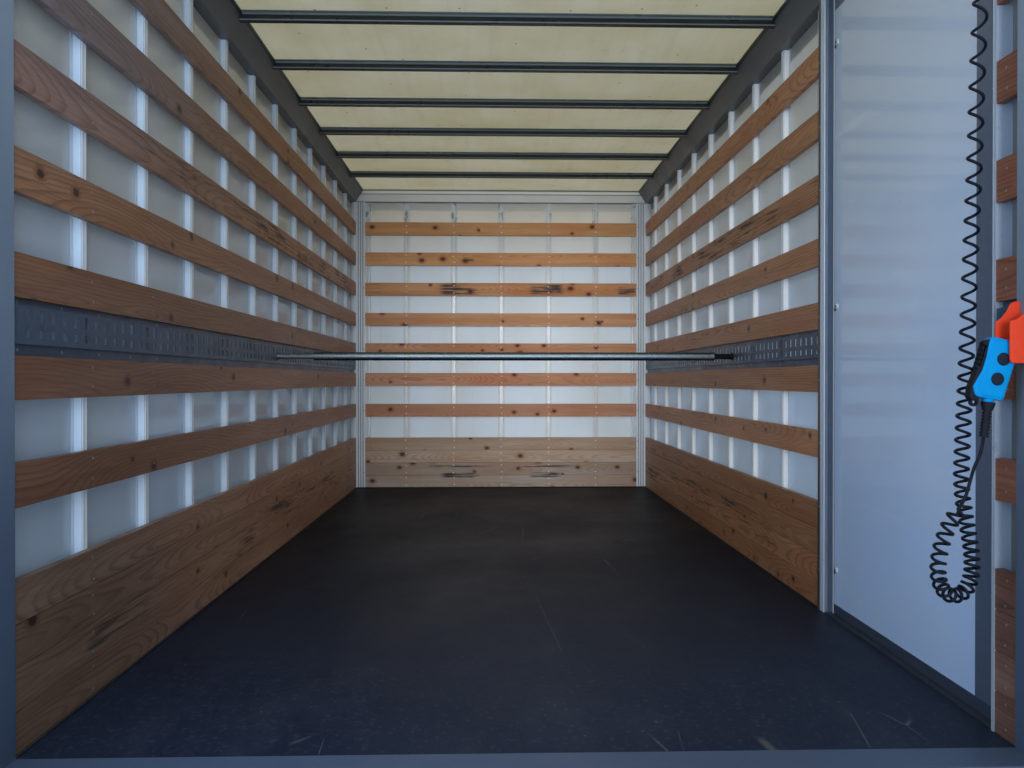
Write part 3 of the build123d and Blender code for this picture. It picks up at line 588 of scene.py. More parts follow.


# dark film on the deck: paler and bluer near the opening as painted sky light, with dust, crumbs, scratches
# and fine raised dots
def deckFilm():
    finish = Finish("deck film")
    x, y = finish.axes("xy")
    blotch = finish.noise(1.3, 4, 0.6)
    fine = finish.noise(60, 3, 0.6)
    dust = finish.noise(5, 5, 0.65, finish.stretched((1, 0.35, 1)))
    base = finish.mix(finish.step(blotch, 0.35, 0.68), (0.0040, 0.0068, 0.0150), (0.0080, 0.0112, 0.0205))
    base = finish.layers(base, (dust, 0.45, 0.75, 0.5, (0.018, 0.020, 0.028)),
                         (fine, 0.5, 0.75, 0.45, (0.038, 0.038, 0.043)))
    # painted sky light: the deck paler and bluer towards the opening
    near = finish.step(y, -2.2, 0.4, 1.0, 0.0)
    sky = finish.joined(near * 1.15 + 0.50, near * 1.32 + 0.56, near * 1.38 + 0.60)
    base = finish.mix(1.0, base, sky, "MULTIPLY")
    crumb = finish.step(finish.cells(9, flat=True), 0.028, 0.036, 1.0, 0.0)
    scratch = finish.cells(1.0, finish.stretched((3.1, 0.55, 1), (0, 0, 0.35)), feature="DISTANCE_TO_EDGE")
    rare = finish.step(finish.noise(2.4, 2), 0.60, 0.66)
    line = finish.step(scratch, 0.0, 0.006, 1.0, 0.0) * rare
    base = finish.layers(base, (crumb * finish.step(dust, 0.5, 0.6) * 0.7, (0.10, 0.10, 0.11)),
                         (line * 0.5, (0.16, 0.15, 0.14)))
    dots = ((x * 900).sine() * (y * 900).sine()) * 0.5 + 0.5
    rough = finish.step(blotch + fine * 0.3, 0.4, 0.9, 0.42, 0.58)
    height = dots * 0.5 + fine * 0.5
    return finish.done(finish.gloss(base, rough, normal=finish.bump(height, 0.0004, 0.35), specular=0.15))


def zincCoat(name, tone, metal, low, high):
    finish = Finish(name)
    grey = finish.node("ShaderNodeSeparateColor", None, [finish.cells(70, out="Color")])
    cloud = finish.noise(9, 4, 0.6)
    grime = finish.step(finish.noise(26, 4, 0.7), 0.56, 0.72)
    base = finish.mix((grey * 0.45 + cloud * 0.75).clamped(), shaded(tone, 0.72), tone)
    base = finish.mix(grime * 0.35, base, shaded(tone, 0.4))
    rough = finish.step(cloud, 0.3, 0.7, low, high) + grime * 0.1
    return finish.done(finish.gloss(base, rough, metal, finish.bump(cloud * 0.7 + grey * 0.1, 0.0005, 0.3)))


def drawnAluminium(name, tone, metal, rough, along="Z"):
    finish = Finish(name)
    grime = finish.step(finish.noise(14, 5, 0.7), 0.58, 0.75)
    base = finish.mix(finish.step(finish.noise(5, 4, 0.6), 0.3, 0.75), shaded(tone, 0.92), tone)
    base = finish.mix(grime * 0.25, base, shaded(tone, 0.45))
    return finish.drawnMetal(base, rough - 0.03, rough + 0.05, metal, along, grime * 0.1)


# side wall studs: a bright face with a painted shade line for a groove, greyer sides, painted shade at the
# bend, a painted shadow at the far edge
def studMetal():
    finish = Finish("side stud aluminium")
    x, y = finish.axes("xy")
    across = abs(x)
    first = (x > 0) * (studRows["right"] - studRows["left"]) + studRows["left"]
    off = (((first - y) / studRows["pitch"] + 0.5).fraction() - 0.5) * studRows["pitch"]
    face = across < studFace + 0.0015
    # painted shade in the crease at the bend
    bend = (across > studFace + 0.0015) * (across < studFace + 0.0040)
    # painted shadow: near-black along the face's far edge
    far = (off < -0.0112) * face
    # painted shade: a dark line for a groove in the face
    groove = (abs(off - 0.004) < 0.0011) * face
    # painted light: the webs bluish grey on the left wall, white on the right wall that the opening lights
    web = finish.mix(x > 0, (0.80, 0.90, 1.0), (1.0, 0.98, 0.96))
    base = finish.layers(web, (face, (0.92, 0.97, 1.0)), (across > studFace + 0.0245, (0.62, 0.68, 0.75)),
                         (finish.noise(5, 4, 0.6), 0.4, 0.8, 0.2, (0.60, 0.66, 0.72)),
                         ((bend + groove).clamped() * 0.6, (0.20, 0.24, 0.30)),
                         (far * 0.9, (0.04, 0.045, 0.055)))
    return finish.drawnMetal(base, 0.32, 0.42, 0.08)


# corner posts inside: bright ribs between flutes painted dark as shade
def postPaint():
    finish = Finish("post aluminium")
    x, y = finish.axes("xy")
    cloud = finish.step(finish.noise(5, 4, 0.6), 0.3, 0.75)
    # painted shade in the flutes
    flute = (y > frontFace + 0.0012) * (y < frontFace + 0.0070) * (abs(x) < lathFace)
    base = finish.mix(cloud, (0.80, 0.86, 0.92), (0.90, 0.95, 0.99))
    return finish.drawnMetal(finish.mix(flute, base, (0.34, 0.40, 0.47)), 0.27, 0.35, 0.3)


# front wall studs: only the raised face is bright, the flanges are as white as the sheet
def frontStudMetal():
    finish = Finish("front stud aluminium")
    x, z = finish.axes("xz")
    off = abs((x / studRows["frontPitch"] + 0.5).fraction() - 0.5) * studRows["frontPitch"]
    face = (off < 0.0135).larger(abs(x) > 1.0)
    blot = finish.step(finish.noise(16, 3, 0.6), 0.52, 0.62) * finish.step(z, 2.40, 2.47)
    base = finish.mix(face, (0.72, 0.73, 0.72), (0.86, 0.91, 0.95))
    return finish.drawnMetal(finish.mix(blot * 0.65, base, (0.16, 0.18, 0.17)), 0.15, 0.25, face * 0.4)


jambPlan = {"linerEnd": -1.181, "linerFace": 1.222, "barFace": 1.2195, "rearJamb": -2.0, "rearShade": -2.255}


# side door jambs: a dark screwed liner, a bright bar beside the groove, and a shaded face towards the door
def jambMetal():
    finish = Finish("jamb metal")
    x, y = finish.axes("xy")
    lining = (y > jambPlan["linerEnd"]) * (x < jambPlan["linerFace"])
    bar = (1 - lining) * (x < jambPlan["barFace"])
    cloud = finish.step(finish.noise(8, 4, 0.6), 0.3, 0.75)
    base = finish.mix(cloud, (0.120, 0.150, 0.200), (0.150, 0.185, 0.240))
    base = finish.layers(base, (lining, (0.050, 0.048, 0.050)), (bar, (0.64, 0.71, 0.81)),
                         (y < jambPlan["rearJamb"], (0.57, 0.66, 0.77)),
                         ((y < jambPlan["rearShade"]) * 0.45, (0.13, 0.18, 0.27)),
                         (finish.noise(24, 4, 0.7), 0.6, 0.75, 0.3, (0.10, 0.10, 0.11)))
    return finish.drawnMetal(base, 0.32, 0.42, bar * 0.4)


# glass-fibre wall sheet: white, waved a little; daylight comes through it, most where the rails' slots show
# it; high: the tint that the yellow roof gives it, low: the tint of the sky
def wallSheet(name, tone, rough, high, low, span=(0.9, 2.4)):
    finish = Finish(name)
    x, y, z = finish.axes()
    wave = finish.noise(1.7, 3, 0.5, finish.stretched((1, 1, 0.5)))
    run = finish.noise(1.0, 4, 0.6, finish.stretched((26, 26, 1.3)))
    base = finish.mix(finish.step(wave, 0.3, 0.72), tone, (tone[0] * 0.93, tone[1] * 0.91, tone[2] * 0.86))
    within = abs(x) < bodySide - 0.0045
    tint = finish.mix(finish.step(z, *span), low, high)
    # painted light: the right wall made brighter low down; the left wall made darker near the opening
    lightAndDim = (x > lathFace) * finish.step(z, 0.9, 1.6, 0.2, 0.0) + 1
    lightAndDim = lightAndDim * (1 - (x < -lathFace) * finish.step(y, -2.3, -1.5, 0.24, 0.0))
    tint = finish.mix(1.0, tint, finish.joined(lightAndDim, lightAndDim, lightAndDim), "MULTIPLY")
    base = finish.layers(base, (within, finish.mix(1.0, base, tint, "MULTIPLY")),
                         (run, 0.56, 0.82, 0.22, shaded(tone, 0.72)),
                         (finish.noise(45, 4, 0.7), 0.68, 0.78, 0.3, shaded(tone, 0.45)))
    gloss = finish.step(wave, 0.3, 0.7, rough - 0.04, rough + 0.06)
    height = wave * 0.6 + finish.noise(11, 2) * 0.15
    solid = finish.gloss(base, gloss, normal=finish.bump(height, 0.004, 0.12))
    glow = finish.node("ShaderNodeBsdfTranslucent", None, [base])
    slots = (z > railSpan[0]) * (z < railSpan[1]) * (abs(x) > studFace)
    share = (x > lathFace) * 0.26 + slots * within * 0.08 + 0.24
    return finish.done(finish.node("ShaderNodeMixShader", None, [share, solid, glow]))


# translucent glass-fibre roof sheet: daylight comes through, with laid fibres and dust
def roofSheet():
    finish = Finish("roof sheet")
    fibre = finish.noise(1.0, 4, 0.6, finish.stretched((24, 1.6, 1)))
    dot = finish.step(finish.cells(2.6, flat=True), 0.010, 0.014, 1.0, 0.0)
    cloud = finish.step(finish.noise(2.2, 5, 0.6), 0.3, 0.7)
    base = finish.mix(cloud, (0.81, 0.785, 0.625), (0.87, 0.86, 0.75))
    base = finish.layers(base, (fibre, 0.45, 0.75, 0.25, (0.70, 0.68, 0.54)),
                         (finish.noise(6, 5, 0.7), 0.64, 0.74, 0.3, (0.40, 0.38, 0.31)),
                         (dot * 0.8, (0.16, 0.13, 0.10)))
    through = finish.node("ShaderNodeBsdfTranslucent", None, [base])
    return finish.done(finish.node("ShaderNodeMixShader", None, [0.55, finish.gloss(base, 0.14), through]))


# roof bows: the face towards the opening is pale under the roof sheet as painted light and dark below as
# painted shade, and a painted highlight runs along the rounded lower edges
def bowZinc(low, high):
    finish = Finish("bow zinc")
    z = finish.axes("z")
    cloud = finish.noise(9, 4, 0.6)
    # painted light at the top of the face, painted shade below it, a painted highlight along the lower edge
    top = finish.step(z, high.z - 0.013, high.z - 0.010)
    edge = finish.step(abs(z - low.z - 0.0045), 0.001, 0.0045, 1.0, 0.0)
    base = finish.mix(top, (0.014, 0.019, 0.022), (0.20, 0.225, 0.215))
    base = finish.layers(base, (edge * 0.75, (0.23, 0.245, 0.235)),
                         (cloud, 0.4, 0.75, 0.12, (0.09, 0.10, 0.105)))
    rough = finish.step(cloud, 0.3, 0.7, 0.26, 0.38)
    return finish.done(finish.gloss(base, rough, 0.1, finish.bump(cloud, 0.0005, 0.2), specular=0.35))


# cant rails: dark beside the roof sheet, paler down the slope, with a thin pale edge at the wall
def cantPaint(low, high):
    finish = Finish("cant grey")
    x, z = finish.axes("xz")
    away = abs(x)
    cloud = finish.noise(3.0, 4, 0.6)
    base = finish.mix(finish.step(z, low.z, high.z, 1.0, 0.0), (0.080, 0.086, 0.086), (0.135, 0.142, 0.140))
    base = finish.layers(base, (cloud, 0.3, 0.75, 0.3, (0.085, 0.090, 0.088)),
                         ((z > high.z - 0.026) * (away < bodySide - 0.05), (0.020, 0.024, 0.026)),
                         ((away > lathFace - 0.006) * (z < low.z + 0.012), (0.30, 0.31, 0.31)),
                         (away > bodySide - 0.0005, (0.56, 0.58, 0.60)))
    return finish.done(finish.gloss(base, finish.step(cloud, 0.3, 0.7, 0.33, 0.46)))


headerPlan = {"lip": 2.609, "fold": 2.668, "shadow": 2.679, "joint": 2.701, "top": 2.702}


# header: white; a dark joint at the roof, a painted highlight on the fold, a painted shadow under it, a dark
# line above the sheet
def headerPaint():
    finish = Finish("header white")
    y, z = finish.axes("yz")
    cloud = finish.noise(3.0, 4, 0.6)
    inner = y < frontFace + 0.03
    fold = z > headerPlan["fold"]
    # painted shadow: a dark strip along the lower part of the fold
    dark = (z > headerPlan["joint"]).larger(fold * (z < headerPlan["shadow"])).larger(z < headerPlan["lip"])
    base = finish.mix(finish.step(cloud, 0.3, 0.75), (0.66, 0.67, 0.67), (0.74, 0.75, 0.745))
    # painted highlight on the fold
    base = finish.layers(base, (inner * fold * (z < headerPlan["top"]), (0.86, 0.86, 0.84)),
                         (dark * inner * 0.85, (0.13, 0.14, 0.14)))
    return finish.done(finish.gloss(base, finish.step(cloud, 0.3, 0.7, 0.3, 0.42)))


# load bar: a painted highlight along it, darker above, and painted dark below as a reflection of the floor
def barMetal(low, high):
    finish = Finish("load bar zinc")
    x, z = finish.axes("xz")
    middle = (low.z + high.z) / 2
    cloud = finish.noise(9, 4, 0.6)
    # painted highlight along the bar; painted reflection of the dark floor below it
    above = finish.step(z, middle - 0.019, middle + 0.001)
    crown = finish.step(z, middle + 0.004, middle + 0.017, 1.0, 0.12)
    base = finish.mix(above * crown, (0.008, 0.014, 0.022), (0.50, 0.62, 0.72))
    base = finish.layers(base, (cloud, 0.45, 0.7, 0.2, (0.16, 0.19, 0.22)),
                         (x > high.x - 0.004, (0.03, 0.035, 0.04)))
    return finish.done(finish.gloss(base, finish.step(cloud, 0.3, 0.7, 0.2, 0.34), 0.85))


# fade: (low, high, tone at the low level), for paint that is darker towards the floor
def satinPaint(name, tone, rough=0.4, chips=0.0, metal=0.0, fade=None):
    finish = Finish(name)
    cloud = finish.noise(3.0, 4, 0.6)
    run = finish.noise(1.0, 4, 0.6, finish.stretched((40, 40, 2)))
    base = finish.mix(finish.step(cloud, 0.3, 0.75), shaded(tone, 0.88), tone)
    base = finish.layers(base, (run, 0.55, 0.8, 0.3, tuple(min(1, c * 1.25 + 0.02) for c in tone)))
    if fade:
        level = finish.axes("z") + cloud * 0.3
        base = finish.mix(finish.step(level, fade[0] + 0.15, fade[1] + 0.15, 1.0, 0.0), base, fade[2])
    if chips:
        base = finish.layers(base, (finish.noise(34, 5, 0.75), 0.70, 0.73, chips, (0.30, 0.29, 0.28)))
    worn = finish.step(cloud, 0.3, 0.7, rough - 0.05, rough + 0.08)
    peel = finish.bump(finish.noise(260, 2, 0.5), 0.0003, 0.25)
    return finish.done(finish.gloss(base, worn, metal, peel))


def moulded(name, tone, rough, specular=0.5):
    finish = Finish(name)
    cloud = finish.noise(25, 3, 0.6)
    base = finish.mix(finish.step(cloud, 0.3, 0.75), shaded(tone, 0.9), tone)
    worn = finish.step(cloud, 0.3, 0.7, rough - 0.04, rough + 0.08)
    grain = finish.bump(finish.noise(700, 2, 0.6), 0.0002, 0.3)
    return finish.done(finish.gloss(base, worn, normal=grain, specular=specular))


leafPlan = {"sideInset": 0.118, "rearInset": 0.010, "endInset": 0.057, "recess": (0.0015, 0.004),
            "sheet": (0.52, 0.58, 0.67), "trim": (0.082, 0.105, 0.152), "edge": 0.035,
            "edgeTone": (0.50, 0.52, 0.54)}


# the door leaf: a pale liner in its recess, a grey inner frame, bare edges and a white outer face
def doorLeaf(low, high):
    finish = Finish("side door leaf")
    x, y, z = finish.axes()
    y0, y1 = low.y + leafPlan["sideInset"], high.y - leafPlan["rearInset"]
    z0, z1 = low.z + leafPlan["endInset"], high.z - leafPlan["endInset"]
    inside = (y > y0) * (y < y1) * (z > z0) * (z < z1)
    lining = inside * (x > low.x + leafPlan["recess"][0]) * (x < low.x + leafPlan["recess"][1])
    wave = finish.noise(1.5, 4, 0.6, finish.stretched((1, 1, 2.2)))
    run = finish.noise(1.0, 4, 0.6, finish.stretched((10, 10, 0.8)))
    level = finish.noise(1.0, 3, 0.6, finish.stretched((1, 0.5, 9)))
    # painted bluish sky light: the liner bluer towards the bottom
    pale = finish.mix(finish.step(z, z0, z0 + 1.9), (0.47, 0.62, 0.88), leafPlan["sheet"])
    pale = finish.layers(pale, (wave, 0.3, 0.7, 0.3, (0.62, 0.66, 0.70)),
                         (run, 0.58, 0.8, 0.3, (0.66, 0.66, 0.66)),
                         (level, 0.62, 0.75, 0.35, (0.72, 0.78, 0.86)),
                         (finish.noise(38, 4, 0.7), 0.70, 0.76, 0.5, (0.30, 0.28, 0.26)))
    outside = x > high.x - 0.0005
    trim = leafPlan["trim"]
    grey = finish.mix(finish.step(finish.noise(40, 4, 0.6), 0.4, 0.8) * 0.4, trim, shaded(trim, 1.3))
    grey = finish.layers(grey, ((z < z0) * 0.55, (0.010, 0.014, 0.024)),
                         (finish.step(z, 1.5, 2.5), (0.125, 0.140, 0.176)))
    base = finish.layers(grey, (lining, pale), (outside.larger(y > y1), (0.80, 0.81, 0.82)))
    rough = 0.38 - lining * 0.33 - outside * 0.12
    return finish.done(finish.gloss(base, rough, normal=finish.bump(wave, 0.003, 0.12)))


# rear door leaves: white sheet with an aluminium edge all round
def rearLeaf(name, low, high):
    finish = Finish(name)
    x, y, z = finish.axes()
    away = (y - low.y).smaller(high.y - y).smaller(z - low.z).smaller(high.z - z)
    rim = abs(x - (low.x + high.x) / 2) < (high.x - low.x) / 2 - 0.0004
    edge = (away < leafPlan["edge"]).larger(rim)
    wave = finish.noise(1.6, 4, 0.6)
    run = finish.noise(1.0, 4, 0.6, finish.stretched((30, 12, 0.9)))
    sheet = finish.mix(finish.step(wave, 0.3, 0.7), (0.64, 0.66, 0.68), (0.69, 0.70, 0.71))
    base = finish.layers(sheet, (run, 0.57, 0.8, 0.3, (0.52, 0.52, 0.51)), (edge, leafPlan["edgeTone"]))
    return finish.done(finish.gloss(base, 0.26 + edge * 0.12, edge * 0.55, finish.bump(wave, 0.003, 0.1)))


def lampLens(tone):
    finish = Finish("lamp lens")
    x, y = finish.axes("xy")
    flute = ((x + y) * 1800).sine() * 0.5 + 0.5
    base = finish.mix(flute * 0.4, tone, shaded(tone, 0.6))
    ribs = finish.bump(flute, 0.0006, 0.5)
    return finish.done(finish.gloss(base, 0.12, normal=ribs, coat=0.6, coatRough=0.05))


paint(wallSheet("side wall sheet", (0.71, 0.77, 0.83), 0.10, (1.08, 0.98, 0.85), (0.84, 0.93, 1.04)),
      "left_wall_skin", "right_wall_skins")
paint(wallSheet("front wall sheet", (0.90, 0.92, 0.93), 0.2, (1.03, 0.98, 0.90), (0.98, 1.04, 1.10),
                (1.95, 2.5)), "front_wall_skin")
paint(studMetal(), "left_studs", "right_studs")
paint(frontStudMetal(), "front_studs")
paint(postPaint(), "corner_posts")
paint(jambMetal(), "side_door_jambs")
paint(drawnAluminium("edge aluminium", (0.62, 0.64, 0.66), 0.75, 0.34, "Y"), "edge_rails", "front_sill")
paint(satinPaint("side sill film", (0.030, 0.036, 0.048), 0.5, 0.4), "side_door_sill")
paint(headerPaint(), "front_header")
paint(cantPaint(*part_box("cant_rails")), "cant_rails")
paint(roofSheet(), "roof_skin")
paint(bowZinc(*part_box("roof_bows")), "roof_bows")
paint(zincCoat("load rail zinc", (0.062, 0.098, 0.160), 0.35, 0.32, 0.44), "load_rails")
paint(barMetal(*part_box("load_bar_tube")), "load_bar_tube", "load_bar_ends")
paint(zincCoat("crossmember zinc", (0.42, 0.44, 0.45), 0.7, 0.4, 0.55), "floor_crossmembers")
rearFittings = [f"rear_door_{side}_{part}" for side in ("left", "right")
                for part in ("hinges", "lock_bars", "lock_guides")]
paint(zincCoat("bright zinc", (0.58, 0.60, 0.62), 0.8, 0.26, 0.4), "side_hinge_plates",
      "rear_hinge_brackets", "door_keepers", "side_door_hinges", *rearFittings)
paint(satinPaint("rear frame paint", (0.225, 0.280, 0.345), 0.42, 0.3,
                 fade=(floorTop + 0.1, floorTop + 2.0, (0.057, 0.084, 0.136))),
      "rear_posts", "rear_header", "rear_sill")
paint(satinPaint("subframe paint", (0.035, 0.037, 0.04), 0.45, 0.5),
      "subframe_rails", "subframe_crosspieces", "chassis_brackets")
paint(deckFilm(), "floor_deck")
paint(doorLeaf(*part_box("side_door_leaf")), "side_door_leaf")
for side in ("left", "right"):
    leaf = f"rear_door_{side}_leaf"
    paint(rearLeaf(leaf, *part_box(leaf)), leaf)
paint(lampLens((0.75, 0.20, 0.03)), "marker_lamps")
blackRubber = moulded("black rubber", (0.007, 0.009, 0.016), 0.5, 0.3)
paint(blackRubber, "control_strain_relief", "cord_gland", "side_door_handle")
print("nodes painted")


# a Geometry Nodes tree being made; inputs are (label, kind) pairs and come back as wires
class Builder(Graph):
    def __init__(self, name, inputs):
        tree = bpy.data.node_groups.new(name, "GeometryNodeTree")
        for label, kind in inputs:
            tree.interface.new_socket(label, in_out="INPUT", socket_type=f"NodeSocket{kind}")
        tree.interface.new_socket("Made", in_out="OUTPUT", socket_type="NodeSocketGeometry")
        super().__init__(tree)
        entry = tree.nodes.new("NodeGroupInput")
        self.given = {label: Wire(self, entry.outputs[label]) for label, kind in inputs}

    def finish(self, made):
        whole = self.node("GeometryNodeRealizeInstances", None, [made])
        sockets = {"Geometry": whole, "Material": self.given["Finish"]}
        coated = self.node("GeometryNodeSetMaterial", None, sockets)
        leave = self.tree.nodes.new("NodeGroupOutput")
        self.tree.links.new(coated.socket, leave.inputs["Made"])
        return self.tree


# the plain mesh that a tree makes from a base mesh and its named values
def runTree(name, base, tree, values):
    holder = linked(name, base)
    modifier = holder.modifiers.new("nodes", "NODES")
    modifier.node_group = tree
    for item in tree.interface.items_tree:
        if item.in_out == "INPUT" and item.name in values:
            modifier[item.identifier] = values[item.name]
    seen = holder.evaluated_get(bpy.context.evaluated_depsgraph_get())
    mesh = bpy.data.meshes.new_from_object(seen)
    holder.modifiers.remove(modifier)
    bpy.data.objects.remove(holder)
    return mesh


# heads stand on points, along each point's "facing", turned by chance
def fastenerTree():
    build = Builder("fasteners", (("Places", "Geometry"), ("Head", "Object"), ("Size", "Float"),
                                  ("Spin", "Float"), ("Seed", "Int"), ("Finish", "Material")))
    given = build.given
    head = build.node("GeometryNodeObjectInfo", {"transform_space": "ORIGINAL"}, {"Object": given["Head"]},
                      "Geometry")
    facing = build.node("GeometryNodeInputNamedAttribute", {"data_type": "FLOAT_VECTOR"}, {"Name": "facing"})
    turn = build.node("FunctionNodeAlignRotationToVector", {"axis": "Z"}, {"Vector": facing})
    spin = build.node("FunctionNodeRandomValue", {"data_type": "FLOAT"},
                      {2: 0.0, 3: given["Spin"], 8: given["Seed"]}, 1)
    twist = build.node("FunctionNodeAxisAngleToRotation", None, {"Axis": (0, 0, 1), "Angle": spin})
    stand = build.node("FunctionNodeRotateRotation", {"rotation_space": "LOCAL"}, [turn, twist])
    size = build.node("ShaderNodeCombineXYZ", None, [given["Size"]] * 3)
    sockets = {"Points": given["Places"], "Instance": head, "Rotation": stand, "Scale": size}
    return build.finish(build.node("GeometryNodeInstanceOnPoints", None, sockets))


def starRing(tip, crotch, height):
    ring = []
    for arm in range(4):
        for offset, radius in ((-13, tip), (13, tip), (45, crotch)):
            angle = math.radians(arm * 90 + offset)
            ring.append((radius * math.cos(angle), radius * math.sin(angle), height))
    return ring


# heads at a radius of 1: a countersunk screw with a cross recess, a dome rivet, a hexagon bolt on its washer
def screwHead():
    rings = [roundRing(1.0, -0.08, 12, -0.5), roundRing(0.86, 0.20, 12, -0.5), starRing(0.56, 0.20, 0.24),
             starRing(0.44, 0.14, -0.02)]
    return ringsMesh("screw_head", rings, (0, 0, -0.08), (0, 0, -0.04))


def rivetHead():
    rings = [roundRing(radius, height, 10) for radius, height in ((1.0, -0.05), (0.94, 0.30), (0.62, 0.56))]
    return ringsMesh("rivet_head", rings, (0, 0, -0.05), (0, 0, 0.64))


def boltHead():
    washer = [roundRing(radius, height, 16) for radius, height in ((1.0, -0.02), (1.0, 0.14), (0.95, 0.18))]
    hexagon = [roundRing(radius, height, 6) for radius, height in ((0.62, 0.1), (0.62, 0.62), (0.52, 0.70))]
    return joinMeshes("bolt_head", [ringsMesh("washer", washer, (0, 0, -0.02), (0, 0, 0.18)),
                                    ringsMesh("hexagon", hexagon, (0, 0, 0.1), (0, 0, 0.70))])


fasteners = fastenerTree()
heads = {kind: linked(mesh.name, mesh) for kind, mesh in
         (("screw", screwHead()), ("rivet", rivetHead()), ("bolt", boltHead()))}
fullTurn = 6.28
landings = {}
leftWay, rightWay, frontWay, backWay = (-1, 0, 0), (1, 0, 0), (0, 1, 0), (0, -1, 0)


# where a straight way from a start first meets a node, and the way back out of it
def landOn(node, start, way):
    if node not in landings:
        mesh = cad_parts[node].data
        faces = [tuple(face.vertices) for face in mesh.polygons]
        landings[node] = BVHTree.FromPolygons([vert.co for vert in mesh.vertices], faces)
    return landings[node].ray_cast(Vector(start), Vector(way))[0], tuple(-step for step in way)


def fasten(name, kind, size, material, body, spots, seed):
    spots = [(place, way) for place, way in spots if place is not None]
    base = bpy.data.meshes.new(name)
    base.from_pydata([tuple(place) for place, way in spots], [], [])
    facing = base.attributes.new("facing", "FLOAT_VECTOR", "POINT")
    facing.data.foreach_set("vector", [value for place, way in spots for value in way])
    values = {"Head": heads[kind], "Size": size, "Spin": fullTurn, "Seed": seed, "Finish": material}
    mesh = runTree(name, base, fasteners, values)
    makePiece(name, mesh, material, body, smooth=kind == "rivet")
    print(name, len(spots), "heads")


# a span drawn in by an inset at each end
def between(span, insets):
    return span[0] + insets[0], span[1] - insets[1]


def rowOf(low, high, pitch):
    count = max(1, round((high - low) / pitch))
    return [low + (high - low) * n / count for n in range(count + 1)]


screwPlan = {"size": 0.0038, "frontSize": 0.0058, "metalSize": 0.0048, "margin": 0.02, "slip": 0.005,
             "lathRises": (0.25, 0.75), "kickRises": (0.22, 0.78), "seed": 11, "railEdges": (0.014, 0.008),
             "railEnds": (0.05, 0.06), "railPitch": 0.2, "postX": 1.155, "postEnds": (0.13, 0.2),
             "postPitch": 0.262, "jambY": (-1.172, -2.285), "jambRise": (0.157, 2.157), "jambPitch": 0.25}


def boardScrews(boards, studs, way, rises):
    chance = random.Random(screwPlan["seed"])
    run = 0 if way[1] else 1
    margin = screwPlan["margin"]
    spots = []
    for low, high in solidBoxes(boards):
        rows = max(1, round((high.z - low.z) / lathPlan["plank"]))
        plank = (high.z - low.z) / rows
        for a, b in solidBoxes(studs):
            middle = (a[run] + b[run]) / 2
            if not low[run] + margin < middle < high[run] - margin:
                continue
            for row in range(rows):
                for rise in rises:
                    slip = [chance.uniform(-1, 1) * screwPlan["slip"] for _ in range(2)]
                    spot = [0.0, 0.0, low.z + (row + rise) * plank + slip[0]]
                    spot[run] = middle + slip[1]
                    spots.append(landOn(boards, spot, way))
    return spots


def makeScrews():
    plan = screwPlan
    steel = zincCoat("screw zinc", (0.34, 0.36, 0.38), 0.7, 0.34, 0.48)
    bright = satinPaint("bright screw", (0.86, 0.88, 0.90), 0.3, metal=0.3)
    walls = {}
    for wall, way in (("left", leftWay), ("right", rightWay), ("front", frontWay)):
        kick = "right_kickboards" if wall == "right" else f"{wall}_kickboard"
        walls[wall] = boardScrews(f"{wall}_laths", f"{wall}_studs", way, plan["lathRises"])
        walls[wall] += boardScrews(kick, f"{wall}_studs", way, plan["kickRises"])
    sides = walls["left"] + walls["right"]
    fasten("board_screws", "screw", plan["size"], steel, "root", sides, 3)
    fasten("front_screws", "screw", plan["frontSize"], bright, "root", walls["front"], 13)
    spots = []
    for way in (leftWay, rightWay):
        for z in between(railSpan, plan["railEdges"]):
            for y in rowOf(*between((rearEdge, frontFace), plan["railEnds"]), plan["railPitch"]):
                spots.append(landOn("load_rails", (0, y, z), way))
    for x in (-plan["postX"], plan["postX"]):
        for z in rowOf(*between((floorTop, wallTop), plan["postEnds"]), plan["postPitch"]):
            spots.append(landOn("corner_posts", (x, 0, z), frontWay))
    for rise in rowOf(*plan["jambRise"], plan["jambPitch"]):
        spots += [landOn("side_door_jambs", (0, y, floorTop + rise), rightWay) for y in plan["jambY"]]
    fasten("metal_screws", "screw", plan["metalSize"], steel, "root", spots, 4)


outsidePlan = {"away": 1.6, "ahead": 3, "rivetSize": 0.0045, "rivetPitch": 0.15, "edgeRow": 0.252,
               "cantRow": 2.562, "rowEnds": (0.13, 0.09), "postRows": (0.33, 2.49), "frontRow": 1.14,
               "postInset": 0.045, "boltSize": 0.0105, "strapBolts": (-2.560, -2.605, -2.650),
               "bracketY": -2.388, "bracketEnds": (0.022, 0.022), "plateY": -1.155,
               "plateEnds": (0.02, 0.02), "doorBoltSize": 0.0095, "doorBolts": (-1.235, -1.275, -1.315)}


